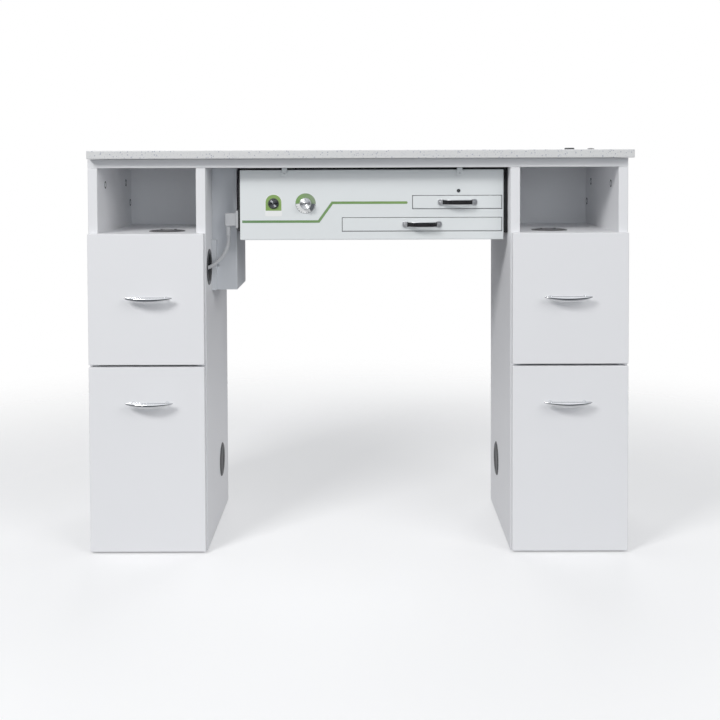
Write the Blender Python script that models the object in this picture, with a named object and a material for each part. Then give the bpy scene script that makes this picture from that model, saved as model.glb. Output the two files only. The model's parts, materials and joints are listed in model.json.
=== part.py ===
"""Manicure table with a built-in dust extractor.

Two drawer pedestals carry a board top with a stone slab on it. A sheet-metal extractor
hangs between them: nail dust falls through a grille in the top, a fan draws the air through
a filter, and the air leaves by a duct beside the left pedestal.

Metres, +Z up, front towards -Y. Pieces are drawn in carcass coordinates: X from the
carcass's centre line (right is +), Y from its front plane (back is +), Z from the floor.
The empty "carcass" moves them all to the part's origin, the centre of its footprint.
"""

import math

import bmesh
import bpy
from mathutils import Matrix, Vector

# ---------------------------------------------------------------- driving dimensions
GAP = 0.0003  # left between pieces that touch
EDGE = 0.0008  # broken edge of a board

SIDES = {"left": -1, "right": 1}

# Carcass
BOARD = 0.018
BACK_BOARD = 0.012
HALF_WIDTH = 0.510
PEDESTAL_WIDTH = 0.222
PEDESTAL_DEPTH = 0.315
CARCASS_HEIGHT = 0.729
CUBBY_FLOOR_TOP = 0.606
BOTTOM_BOARD_TOP = 0.030
INNER_FACE = HALF_WIDTH - PEDESTAL_WIDTH  # pedestal's face towards the knees
BAY_NEAR = INNER_FACE + BOARD  # drawer bay, nearest and farthest |X|
BAY_FAR = HALF_WIDTH - BOARD

# Top
SUB_TOP_THICKNESS = 0.017
SLAB_THICKNESS = 0.016
SLAB_LEFT = -0.507
SLAB_RIGHT = 0.517
SLAB_FRONT = -0.022
SLAB_BACK = 0.378
SUB_TOP_BACK = 0.356
SUB_TOP_TOP = CARCASS_HEIGHT + SUB_TOP_THICKNESS
TABLE_HEIGHT = SUB_TOP_TOP + SLAB_THICKNESS
INTAKE = ((0.115, 0.070), (0.265, 0.200))  # opening for the dusty air, two XY corners
GRILLE_THICKNESS = 0.0015
GRILLE_SLOTS = 12
GRILLE_FLANGE = 0.005
PLUG_STEM_R = 0.0065
TOP_PLUGS = {  # X, Y, cap radius, height above the slab, radius of the flat on its top
    "top_plug_flat": (0.4352, 0.200, 0.0103, 0.0055, 0.0080),
    "top_plug_domed": (0.4791, 0.200, 0.0083, 0.0048, 0.0030),
}

# Pedestal drawers: front's low and high z, its handle's z, box's low and high z
DRAWERS = {
    "upper": (0.3590, 0.6060, 0.4835, 0.372, 0.487),
    "lower": (0.0035, 0.3545, 0.2855, 0.045, 0.290),
}
FRONT_REVEAL = 0.002  # drawer front inset from the pedestal's sides
DRAWER_DEPTH = 0.203
DRAWER_WALL = 0.010
SLIDE_CLEARANCE = 0.0125  # side panel to drawer box
SLIDE_START = 0.003
SLIDE_LENGTH = 0.208
SLIDE_HEIGHT = 0.022
RUNNER = (0.006, 0.006, 0.008)  # half width, low and high above the box's underside

# Handles: length, grip height and reach in front of their face
DRAWER_HANDLE = (0.090, 0.0105, 0.025)
TRAY_HANDLE = (0.075, 0.0120, 0.022)
HANDLE_PITCH = 0.064
DRAWER_HANDLE_X = 0.3925
FILTER_HANDLE_X = 0.1910

# Grommets of 60 mm holes
HOLE_R = 0.030
FLANGE_R = 0.035
CUBBY_HOLE = (0.372, 0.066)  # |X|, Y
CORD_HOLE = (0.045, 0.538)  # Y, Z
LOW_HOLE = (0.220, 0.1175)

# Extractor
VAC_LEFT = -0.2270
VAC_RIGHT = 0.2796
VAC_FRONT = 0.038
VAC_BACK = 0.300
VAC_BOTTOM = 0.590
VAC_TOP = 0.7245
SHEET = 0.0012
LIP = 0.010  # front panel's folded edge
DIVIDER_X = -0.0400  # wall between the fan's bay and the rest
CONTROLS_WALL = (0.1020, 0.1042)  # X of the wall between the controls and the filter
DUST_SHELF = (0.6056, 0.6068)  # Z of the shelf under the dust tray
FILTER_SHELF = (0.6450, 0.6474)  # Z of the shelf under the filter
AIR_SLOT = ((0.070, 0.610), (0.270, 0.6425))  # YZ, from under the filter to the fan
FILTER_EXIT_Y = 0.220
FILTER_WINDOW = ((0.1047, 0.6494), (0.2761, 0.6748))  # XZ corners
DUST_WINDOW = ((-0.0305, 0.6066), (0.2761, 0.6325))
FILTER_TRAY = (0.235, 0.6500, 0.6700)  # back Y, low and high Z
DUST_TRAY = (0.265, 0.6074, 0.6300)
TRAY_PROUD = 0.001  # a tray's front stands this far out of the panel
BUTTON_AT = (-0.1625, 0.6602)
KNOB_AT = (-0.1008, 0.6602)
BUTTON_R = 0.0085
KNOB_R = 0.01125

# Fan: a scroll round a vertical axis, blowing towards -X into the duct
FAN_AT = (-0.125, 0.150)
SCROLL_LOW = 0.628
SCROLL_HIGH = 0.690
SCROLL_R = (0.062, 0.080)  # spiral's first and last radius
SCROLL_WALL = 0.002
TONGUE = math.radians(130)  # where the spiral starts
IMPELLER_R = 0.052
SHAFT_R = 0.003
DUCT_LOW = (-0.2877, 0.0910, 0.4890)
DUCT_HIGH = (-0.2390, 0.2500, 0.7285)
DUCT_FLANGE = (0.0800, -0.2790, 0.5880)  # front Y, right X and top Z

# Mains lead
CORD = 0.007
CONNECTOR_LOW = (-0.2590, 0.0620, 0.6160)
CONNECTOR_HIGH = (-0.2376, 0.0800, 0.6410)
CONNECTOR_NOSE = ((0.0640, 0.6170), (0.0780, 0.6400), -0.2225)  # YZ corners, X of its end
INLET_FLANGE = ((0.0585, 0.6120), (0.0835, 0.6450))  # YZ corners
INLET_BODY = ((0.0605, 0.6140), (0.0815, 0.6430), -0.2050)  # YZ corners, X of its end
RELIEF_X = -0.2530
RELIEF_LENGTH = 0.0242
COIL_AT = (-0.4400, 0.2625)
COIL_MIDDLE_R = 0.0385
CORD_ROUTE = [
    (-0.2530, 0.0710, 0.5952), (-0.2530, 0.0710, 0.5860), (-0.2550, 0.0698, 0.5750),
    (-0.2595, 0.0670, 0.5645), (-0.2660, 0.0628, 0.5550), (-0.2740, 0.0580, 0.5468),
    (-0.2820, 0.0530, 0.5405), (-0.2910, 0.0488, 0.5360), (-0.3010, 0.0470, 0.5330),
    (-0.3120, 0.0480, 0.5308), (-0.3225, 0.0535, 0.5290), (-0.3295, 0.0630, 0.5275),
    (-0.3325, 0.0750, 0.5262), (-0.3315, 0.0890, 0.5250), (-0.3265, 0.1060, 0.5238),
    (-0.3200, 0.1260, 0.5225), (-0.3145, 0.1500, 0.5210), (-0.3118, 0.1780, 0.5190),
    (-0.3115, 0.2080, 0.5165), (-0.3115, 0.2360, 0.5120), (-0.3115, 0.2610, 0.5030),
    (-0.3115, 0.2820, 0.4870), (-0.3115, 0.2960, 0.4650), (-0.3115, 0.3030, 0.4380),
    (-0.3115, 0.3045, 0.4050), (-0.3115, 0.3045, 0.3000), (-0.3115, 0.3045, 0.1900),
    (-0.3115, 0.3045, 0.0980), (-0.3130, 0.3045, 0.0760), (-0.3185, 0.3045, 0.0580),
    (-0.3285, 0.3045, 0.0440), (-0.3420, 0.3045, 0.0360), (-0.3580, 0.3045, 0.0340),
    (-0.3750, 0.3045, 0.0338), (-0.4143, 0.3045, 0.0338),
]
PLUG_TURN = math.radians(20)

# The part's origin, in carcass coordinates
FRONTMOST = -(BOARD + DRAWER_HANDLE[2])
ORIGIN = ((SLAB_RIGHT - HALF_WIDTH) / 2, (SLAB_BACK + FRONTMOST) / 2, 0.0)

FINISHES = {  # colour, roughness, metallic
    "melamine": ((0.82, 0.83, 0.85), 0.45, 0.0),
    "stone": ((0.74, 0.75, 0.75), 0.30, 0.0),
    "painted_steel": ((0.78, 0.81, 0.82), 0.35, 0.0),
    "black_steel": ((0.02, 0.02, 0.022), 0.55, 0.0),
    "galvanised": ((0.55, 0.57, 0.58), 0.40, 1.0),
    "chrome": ((0.80, 0.81, 0.82), 0.10, 1.0),
    "spun_aluminium": ((0.72, 0.73, 0.74), 0.25, 1.0),
    "black_plastic": ((0.03, 0.03, 0.033), 0.40, 0.0),
    "pale_plastic": ((0.66, 0.67, 0.68), 0.40, 0.0),
    "filter_foam": ((0.10, 0.11, 0.12), 0.95, 0.0),
    "motor_steel": ((0.35, 0.36, 0.38), 0.45, 1.0),
    "cord_rubber": ((0.60, 0.61, 0.62), 0.50, 0.0),
}


# ---------------------------------------------------------------- tools
def clear_scene():
    for obj in list(bpy.data.objects):
        bpy.data.objects.remove(obj, do_unlink=True)


def make_finishes():
    for name, (colour, roughness, metallic) in FINISHES.items():
        finish = bpy.data.materials.new(name)
        finish.use_nodes = True
        shader = finish.node_tree.nodes["Principled BSDF"]
        shader.inputs["Base Color"].default_value = (*colour, 1.0)
        shader.inputs["Roughness"].default_value = roughness
        shader.inputs["Metallic"].default_value = metallic


def make_carcass_frame():
    frame = bpy.data.objects.new("carcass", None)
    frame.location = [-value for value in ORIGIN]
    bpy.context.collection.objects.link(frame)
    return frame


def place(obj, origin):
    obj.location = origin
    obj.parent = bpy.data.objects["carcass"]
    bpy.context.collection.objects.link(obj)
    return obj


def make(name, bm, finish, origin=(0, 0, 0), smooth=False):
    """Makes an object of a mesh drawn in carcass coordinates, with its origin at a point."""
    bmesh.ops.recalc_face_normals(bm, faces=bm.faces)
    bmesh.ops.translate(bm, verts=bm.verts, vec=-Vector(origin))
    mesh = bpy.data.meshes.new(name)
    bm.to_mesh(mesh)
    bm.free()
    if finish:
        mesh.materials.append(bpy.data.materials[finish])
    if smooth:
        mesh.shade_smooth()
        mesh.set_sharp_from_angle(angle=math.radians(35))
    return place(bpy.data.objects.new(name, mesh), origin)


def bevel(obj, width, segments=1):
    edges = obj.modifiers.new("broken_edges", "BEVEL")
    edges.width = width
    edges.segments = segments
    return obj


def combine(obj, bm, operation):
    """Cuts a mesh out of an object, or joins it on, with a hidden tool object."""
    tool = make(f"{obj.name}_tool_{len(obj.modifiers)}", bm, None)
    tool.hide_render = True
    tool.display_type = "WIRE"
    step = obj.modifiers.new(tool.name, "BOOLEAN")
    step.object = tool
    step.operation = operation
    step.solver = "EXACT"
    return obj


def add_box(bm, low, high):
    low, high = Vector(low), Vector(high)
    size = Matrix.Diagonal((*(high - low), 1.0))
    bmesh.ops.create_cube(bm, size=1.0, matrix=Matrix.Translation((low + high) / 2) @ size)


def boxes(*corner_pairs):
    bm = bmesh.new()
    for low, high in corner_pairs:
        add_box(bm, low, high)
    return bm


def add_rod(bm, start, axis, length, radius, end_radius=None, sides=24):
    """Adds a cylinder or cone that runs from a point along a direction."""
    axis = Vector(axis)
    turn = Vector((0, 0, 1)).rotation_difference(axis).to_matrix().to_4x4()
    middle = Vector(start) + axis * length / 2
    last = radius if end_radius is None else end_radius
    bmesh.ops.create_cone(
        bm, cap_ends=True, segments=sides, radius1=radius, radius2=last, depth=length,
        matrix=Matrix.Translation(middle) @ turn,
    )


def rods(starts, axis, length, radius, sides=24):
    bm = bmesh.new()
    for start in starts:
        add_rod(bm, start, axis, length, radius, sides=sides)
    return bm


def turned(profile, at, axis=(0, 0, 1), sides=32):
    """Turns a closed (radius, height) outline; heights run along the axis from a point."""
    bm = bmesh.new()
    place_ring = Matrix.Translation(at) @ Vector((0, 0, 1)).rotation_difference(
        Vector(axis)
    ).to_matrix().to_4x4()
    rings = []
    for radius, height in profile:
        count = sides if radius > 0 else 1
        turns = [2 * math.pi * k / sides for k in range(count)]
        rings.append([
            bm.verts.new(place_ring @ Vector((radius * math.cos(a), radius * math.sin(a), height)))
            for a in turns
        ])
    for ring, following in zip(rings, rings[1:] + rings[:1]):
        if len(ring) == len(following) == 1:
            continue
        for k in range(sides):
            corners = [ring[k % len(ring)], ring[(k + 1) % len(ring)],
                       following[(k + 1) % len(following)], following[k % len(following)]]
            bm.faces.new(list(dict.fromkeys(corners)))
    return bm


def prism(outline, low, high, plane):
    """Closes a 2-D outline, in the XY or the XZ plane, into a prism along the third axis."""
    def corner(u, v, w):
        return (u, v, w) if plane == "XY" else (u, w, v)

    bm = bmesh.new()
    ends = [[bm.verts.new(corner(u, v, w)) for u, v in outline] for w in (low, high)]
    for end in ends:
        bm.faces.new(end)
    count = len(outline)
    for k in range(count):
        after = (k + 1) % count
        bm.faces.new((ends[0][k], ends[0][after], ends[1][after], ends[1][k]))
    return bm


def lofted(rings):
    """Skins closed rings of equal point counts into a solid with flat ends."""
    bm = bmesh.new()
    skin = [[bm.verts.new(point) for point in ring] for ring in rings]
    for ring, following in zip(skin, skin[1:]):
        for k in range(len(ring)):
            after = (k + 1) % len(ring)
            bm.faces.new((ring[k], ring[after], following[after], following[k]))
    bm.faces.new(skin[0])
    bm.faces.new(skin[-1])
    return bm


def across(side, near, far):
    """Low and high X of something between two distances from the centre line."""
    return sorted((side * near, side * far))


def board(name, low, high, finish="melamine"):
    middle = (Vector(low) + Vector(high)) / 2
    return bevel(make(name, boxes((low, high)), finish, middle), EDGE)


# ---------------------------------------------------------------- top
def make_top():
    (x0, y0), (x1, y1) = INTAKE
    opening = ((x0, y0, CARCASS_HEIGHT - BOARD), (x1, y1, TABLE_HEIGHT + BOARD))
    sub_top = board("sub_top", (-HALF_WIDTH, 0, CARCASS_HEIGHT + GAP),
                    (HALF_WIDTH, SUB_TOP_BACK, SUB_TOP_TOP))
    combine(sub_top, boxes(opening), "DIFFERENCE")

    low = (SLAB_LEFT, SLAB_FRONT, SUB_TOP_TOP + GAP)
    slab = make("stone_top", boxes((low, (SLAB_RIGHT, SLAB_BACK, TABLE_HEIGHT))), "stone")
    bevel(slab, 0.0015, segments=2)
    combine(slab, boxes(opening), "DIFFERENCE")
    flange = GRILLE_FLANGE
    rebate = ((x0 - flange - GAP, y0 - flange - GAP, TABLE_HEIGHT - GRILLE_THICKNESS - GAP),
              (x1 + flange + GAP, y1 + flange + GAP, TABLE_HEIGHT + BOARD))
    combine(slab, boxes(rebate), "DIFFERENCE")
    starts = [(x, y, SUB_TOP_TOP) for x, y, *_ in TOP_PLUGS.values()]
    combine(slab, rods(starts, (0, 0, 1), SLAB_THICKNESS * 2, PLUG_STEM_R + GAP), "DIFFERENCE")

    grille = make(
        "intake_grille",
        boxes(((x0 - flange, y0 - flange, TABLE_HEIGHT - GRILLE_THICKNESS),
               (x1 + flange, y1 + flange, TABLE_HEIGHT))),
        "galvanised",
    )
    pitch = (x1 - x0) / GRILLE_SLOTS  # each slot takes the middle three fifths of its pitch
    slots = [
        ((x0 + pitch * (k + 0.2), y0 + flange, SUB_TOP_TOP),
         (x0 + pitch * (k + 0.8), y1 - flange, TABLE_HEIGHT + BOARD))
        for k in range(GRILLE_SLOTS)
    ]
    combine(grille, boxes(*slots), "DIFFERENCE")


def make_top_plugs():
    """Black caps that close two holes drilled through the slab for a lamp."""
    for name, (x, y, radius, height, flat) in TOP_PLUGS.items():
        shoulder = (radius + flat) / 2
        profile = [(0, -0.010), (PLUG_STEM_R, -0.010), (PLUG_STEM_R, GAP), (radius, GAP),
                   (radius, height * 0.45), (shoulder, height * 0.85), (flat, height), (0, height)]
        make(name, turned(profile, (x, y, TABLE_HEIGHT), sides=24), "black_plastic", smooth=True)


# ---------------------------------------------------------------- pedestals
def make_pedestal(word, side):
    def panel(name, near, far, y0, y1, z0, z1):
        x0, x1 = across(side, near, far)
        return board(f"{word}_{name}", (x0, y0, z0), (x1, y1, z1))

    panel("outer_side", BAY_FAR, HALF_WIDTH, 0, PEDESTAL_DEPTH, 0, CARCASS_HEIGHT)
    inner = panel("inner_side", INNER_FACE, BAY_NEAR, 0, PEDESTAL_DEPTH, 0, CARCASS_HEIGHT)
    panel("back_panel", INNER_FACE, HALF_WIDTH, PEDESTAL_DEPTH + GAP,
          PEDESTAL_DEPTH + BACK_BOARD, 0, CARCASS_HEIGHT)
    near, far = BAY_NEAR + GAP, BAY_FAR - GAP
    panel("bottom_panel", near, far, 0.001, PEDESTAL_DEPTH,
          BOTTOM_BOARD_TOP - BOARD, BOTTOM_BOARD_TOP)
    floor = panel("cubby_floor", near, far, 0, PEDESTAL_DEPTH,
                  CUBBY_FLOOR_TOP - BOARD, CUBBY_FLOOR_TOP)

    holes = [LOW_HOLE, CORD_HOLE] if side < 0 else [LOW_HOLE]
    starts = [(side * (INNER_FACE - BOARD), y, z) for y, z in holes]
    combine(inner, rods(starts, (side, 0, 0), BOARD * 3, HOLE_R, sides=32), "DIFFERENCE")
    x, y = CUBBY_HOLE
    start = (side * x, y, CUBBY_FLOOR_TOP - BOARD * 2)
    combine(floor, rods([start], (0, 0, 1), BOARD * 3, HOLE_R, sides=32), "DIFFERENCE")


def make_slide(name, side, face, low):
    """A cabinet rail: a C of folded steel that opens towards the drawer."""
    wall, depth, lip = 0.0012, 0.0095, 0.003
    top = SLIDE_HEIGHT
    section = [(GAP, 0), (depth, 0), (depth, lip), (depth - wall, lip), (depth - wall, wall),
               (GAP + wall, wall), (GAP + wall, top - wall), (depth, top - wall), (depth, top),
               (GAP, top)]
    outline = [(face + side * u, low + v) for u, v in section]
    make(name, prism(outline, SLIDE_START, SLIDE_START + SLIDE_LENGTH, "XZ"), "galvanised")


def make_pedestal_drawer(word, side, level):
    z0, z1, handle_z, box_low, box_high = DRAWERS[level]
    name = f"{word}_{level}_drawer"
    x0, x1 = across(side, INNER_FACE + FRONT_REVEAL, HALF_WIDTH - FRONT_REVEAL)
    board(f"{name}_front", (x0, -BOARD, z0), (x1, -GAP, z1))

    b0, b1 = across(side, BAY_NEAR + SLIDE_CLEARANCE, BAY_FAR - SLIDE_CLEARANCE)
    back, wall = GAP + DRAWER_DEPTH, DRAWER_WALL
    box = make(f"{name}_box", boxes(((b0, GAP, box_low), (b1, back, box_high))), "melamine")
    inside = ((b0 + wall, GAP + wall, box_low + wall), (b1 - wall, back - wall, box_high + wall))
    combine(box, boxes(inside), "DIFFERENCE")
    half, low, high = RUNNER
    runners = [((x - half, 0.004, box_low + low), (x + half, back, box_low + high))
               for x in (b0, b1)]
    combine(box, boxes(*runners), "UNION")

    rail_low = box_low - 0.002
    make_slide(f"{name}_inner_rail", side, side * BAY_NEAR, rail_low)
    make_slide(f"{name}_outer_rail", -side, side * BAY_FAR, rail_low)
    make_bow_handle(f"{name}_handle", side * DRAWER_HANDLE_X, -BOARD, handle_z)


# ---------------------------------------------------------------- handles
def bow_rings(x, face, z, size, end_reach, end_height, steps=14, sides=8):
    """Oval sections along a bow that stands farthest from its face at mid-length."""
    length, height, reach = size
    thick = 0.0044
    rings = []
    for k in range(steps + 1):
        t = 2 * k / steps - 1
        rise = 1 - t * t
        out = end_reach + (reach - thick / 2 - end_reach) * rise
        tall = end_height + (height - end_height) * (1 - abs(t) ** 1.7)
        deep = thick * (0.45 + 0.55 * rise)
        top = z + height / 2 - 0.0012 * (1 - rise)
        ring = []
        for j in range(sides):
            a = 2 * math.pi * j / sides
            ring.append((x + t * length / 2, face - out - deep / 2 * math.cos(a),
                         top - tall / 2 + tall / 2 * math.sin(a)))
        rings.append(ring)
    return rings


def make_bow_handle(name, x, face, z):
    """A chrome bow with pointed ends on two posts."""
    length, _, reach = DRAWER_HANDLE
    bow = lofted(bow_rings(x, face, z, DRAWER_HANDLE, 0.006, 0.0016))
    bow = make(name, bow, "chrome", smooth=True)
    at = HANDLE_PITCH / length
    post = 0.006 + (reach - 0.008) * (1 - at * at)
    starts = [(x + s * HANDLE_PITCH / 2, face - GAP, z + 0.0015) for s in (-1, 1)]
    combine(bow, rods(starts, (0, -1, 0), post, 0.0028, sides=12), "UNION")


def make_tray_handle(name, x, face, z):
    """A chrome strap handle, flared into a flat pad at each end."""
    length, height, reach = TRAY_HANDLE
    rings = bow_rings(x, face, z, (length - 0.012, height, reach), 0.0030, height)
    bow = make(name, lofted(rings), "chrome", smooth=True)
    half, tall, pad = length / 2, 0.0072, 0.012
    pads = [((x + s * half - (pad if s > 0 else 0), face - 0.0046, z - tall),
             (x + s * half + (0 if s > 0 else pad), face - GAP, z + tall)) for s in (-1, 1)]
    combine(bow, boxes(*pads), "UNION")


# ---------------------------------------------------------------- grommets
def make_cubby_grommet(word, side):
    x, y = CUBBY_HOLE
    at = (side * x, y, CUBBY_FLOOR_TOP)
    seat_r = FLANGE_R - 0.0065
    sleeve_r = HOLE_R - GAP
    ring = [(seat_r, 0.0020), (FLANGE_R - 0.0008, 0.0020), (FLANGE_R, GAP), (sleeve_r, GAP),
            (sleeve_r, -0.015), (seat_r - 0.003, -0.015), (seat_r - 0.003, 0.0002), (seat_r, 0.0002)]
    make(f"{word}_grommet_ring", turned(ring, at), "black_plastic", at, smooth=True)

    cap_r = seat_r - 0.0004
    dome = [(0, 0.0006), (cap_r, 0.0006), (cap_r, 0.0022), (cap_r - 0.0015, 0.0030), (0, 0.0034)]
    cap = make(f"{word}_grommet_cap", turned(dome, at), "black_plastic", at, smooth=True)
    slot = 0.009  # half the width of the cord notch in the cap's rim
    notch = ((at[0] - slot, at[1] + cap_r - 0.014, at[2] - 0.002),
             (at[0] + slot, at[1] + FLANGE_R, at[2] + 0.006))
    combine(cap, boxes(notch), "DIFFERENCE")


def make_side_grommets():
    """The lead's open grommet in the left pedestal, and the caps over the two low holes."""
    sleeve_r = HOLE_R - GAP
    lip = [(FLANGE_R, GAP), (FLANGE_R - 0.001, 0.0022)]
    ring = [(0.0265, 0.0022), (0.0265, -0.016), (sleeve_r, -0.016), (sleeve_r, GAP), *lip]
    at = (-INNER_FACE, *CORD_HOLE)
    make("cord_grommet", turned(ring, at, (1, 0, 0)), "black_plastic", at, smooth=True)
    cap = [(0, -0.012), (sleeve_r, -0.012), (sleeve_r, GAP), *lip, (0, 0.0026)]
    for word, side in SIDES.items():
        at = (side * INNER_FACE, *LOW_HOLE)
        bm = turned(cap, at, (-side, 0, 0))
        make(f"{word}_low_grommet_cap", bm, "black_plastic", at, smooth=True)


# ---------------------------------------------------------------- extractor
def make_front_panel():
    low, high = (VAC_LEFT, VAC_FRONT, VAC_BOTTOM), (VAC_RIGHT, VAC_FRONT + LIP, VAC_TOP)
    panel = make("vac_front_panel", boxes((low, high)), "painted_steel")
    bevel(panel, 0.0018, segments=2)
    hollow = ((VAC_LEFT + SHEET, VAC_FRONT + SHEET, VAC_BOTTOM + SHEET),
              (VAC_RIGHT - SHEET, VAC_FRONT + LIP * 2, VAC_TOP - SHEET))
    combine(panel, boxes(hollow), "DIFFERENCE")
    front, back = VAC_FRONT - LIP, VAC_FRONT + LIP / 2
    bm = boxes(*[
        ((x0, front, z0), (x1, back, z1)) for (x0, z0), (x1, z1) in (FILTER_WINDOW, DUST_WINDOW)
    ])
    add_rod(bm, (BUTTON_AT[0], front, BUTTON_AT[1]), (0, 1, 0), LIP * 1.5, BUTTON_R + GAP)
    bore = SHAFT_R + 2 * GAP
    add_rod(bm, (KNOB_AT[0], front, KNOB_AT[1]), (0, 1, 0), LIP * 1.5, bore, sides=16)
    combine(panel, bm, "DIFFERENCE")


def make_chassis():
    """A welded box, open to the front, with a bay for each thing that it holds."""
    left, right = VAC_LEFT + SHEET + GAP, VAC_RIGHT - SHEET - GAP
    low, high = VAC_BOTTOM + SHEET + GAP, VAC_TOP - SHEET - GAP
    front = VAC_FRONT + SHEET + GAP
    (x0, y0), (x1, y1) = INTAKE
    rim = 0.006
    body = ((left, front, low), (right, VAC_BACK, high))
    chassis = make("vac_chassis", boxes(body), "black_steel")
    collar = ((x0 - rim, y0 - rim, high - rim), (x1 + rim, y1 + rim, CARCASS_HEIGHT - GAP))
    combine(chassis, boxes(collar), "UNION")
    y_out, y_in = VAC_FRONT - LIP, VAC_BACK - SHEET
    inner_left, inner_right = left + SHEET, right - SHEET
    floor, roof = low + SHEET, high - SHEET
    middle = DIVIDER_X + SHEET / 2
    bays = [
        (inner_left, DIVIDER_X - SHEET / 2, floor, roof),  # fan
        (middle, inner_right, floor, DUST_SHELF[0]),  # under the dust tray
        (middle, inner_right, DUST_SHELF[1], FILTER_SHELF[0]),  # dust tray
        (middle, CONTROLS_WALL[0], FILTER_SHELF[1], roof),  # controls
        (CONTROLS_WALL[1], inner_right, FILTER_SHELF[1], roof),  # filter
    ]
    hollows = [((a, y_out, c), (b, y_in, d)) for a, b, c, d in bays]
    combine(chassis, boxes(*hollows), "DIFFERENCE")
    outlet = scroll_outlet()
    (inlet_y0, inlet_z0), (inlet_y1, inlet_z1), _ = INLET_BODY
    room = 0.0005
    socket = ((left - LIP, inlet_y0 - room, inlet_z0 - room),
              (inner_left + LIP, inlet_y1 + room, inlet_z1 + room))
    blow = ((left - LIP, outlet[0] - 0.001, SCROLL_LOW - 0.001),
            (inner_left + LIP, outlet[1] + 0.001, SCROLL_HIGH + 0.001))
    draw = ((DIVIDER_X - LIP, *AIR_SLOT[0]), (DIVIDER_X + LIP, *AIR_SLOT[1]))
    under_filter = ((x0, y0, FILTER_SHELF[0] - rim), (x1 - 0.002, FILTER_EXIT_Y, FILTER_SHELF[1] + rim))
    intake = ((x0, y0, roof - SHEET), (x1, y1, CARCASS_HEIGHT + SHEET))
    combine(chassis, boxes(socket, blow, draw, under_filter, intake), "DIFFERENCE")


def make_tray(name, window, size):
    """A drawer of the extractor: a folded front with a tray behind it."""
    (x0, z0), (x1, z1) = window
    back, low, high = size
    slack, wall = 0.0005, 0.002
    front = ((x0 + slack, VAC_FRONT - TRAY_PROUD, z0 + slack),
             (x1 - slack, VAC_FRONT + 0.003, z1 - slack))
    tray = bevel(make(name, boxes(front), "painted_steel"), EDGE)
    inset = 0.0025
    a, b = x0 + inset, x1 - inset
    combine(tray, boxes(((a, VAC_FRONT + 0.002, low), (b, back, high))), "UNION")
    inside = ((a + wall, VAC_FRONT + 0.005, low + wall), (b - wall, back - wall, high + BOARD))
    combine(tray, boxes(inside), "DIFFERENCE")
    return tray, inside


def make_trays():
    tray, inside = make_tray("filter_drawer", FILTER_WINDOW, FILTER_TRAY)
    ledge = 0.004
    (a, c, low), (b, d, _) = inside
    through = ((a + ledge, c + ledge, low - BOARD), (b - ledge, d - ledge, low + ledge))
    combine(tray, boxes(through), "DIFFERENCE")
    pad = ((a + GAP, c + GAP, low + GAP), (b - GAP, d - GAP, low + 0.017))
    make("filter_pad", boxes(pad), "filter_foam")
    face = VAC_FRONT - TRAY_PROUD
    (_, z0), (_, z1) = FILTER_WINDOW
    make_tray_handle("filter_drawer_handle", FILTER_HANDLE_X, face, (z0 + z1) / 2)

    make_tray("dust_drawer", DUST_WINDOW, DUST_TRAY)
    (x0, z0), (x1, z1) = DUST_WINDOW
    make_tray_handle("dust_drawer_handle", (x0 + x1) / 2, face, (z0 + z1) / 2)


def make_controls():
    x, z = BUTTON_AT
    at = (x, VAC_FRONT, z)
    reach, dish = 0.0060, 0.0010
    profile = [(0, -0.009), (BUTTON_R, -0.009), (BUTTON_R, reach - dish),
               (BUTTON_R - dish, reach), (0, reach - dish / 2)]
    make("power_button", turned(profile, at, (0, -1, 0), 24), "black_plastic", at, smooth=True)

    x, z = KNOB_AT
    at = (x, VAC_FRONT, z)
    proud = 0.0008
    profile = [(0, -0.012), (SHAFT_R, -0.012), (SHAFT_R, proud), (KNOB_R, proud),
               (KNOB_R, 0.0140), (KNOB_R - 0.0015, 0.0160), (0, 0.0160)]
    make("speed_knob", turned(profile, at, (0, -1, 0), 32), "spun_aluminium", at, smooth=True)


def scroll_outlet():
    """Y of the outlet's two walls."""
    small, large = SCROLL_R
    return FAN_AT[1] + small * math.sin(TONGUE), FAN_AT[1] + large


def scroll_outline(inset, mouth_x):
    """The snail: a spiral that grows from the tongue round to the back, then runs to -X."""
    small, large = SCROLL_R
    steps, end = 22, math.radians(450)
    points = []
    for k in range(steps + 1):
        part = k / steps
        angle = TONGUE + (end - TONGUE) * part
        radius = small + (large - small) * part - inset
        across_x, across_y = radius * math.cos(angle), radius * math.sin(angle)
        points.append((FAN_AT[0] + across_x, FAN_AT[1] + across_y))
    near, far = scroll_outlet()
    return points + [(mouth_x, far - inset), (mouth_x, near + inset), (points[0][0], near + inset)]


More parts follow.
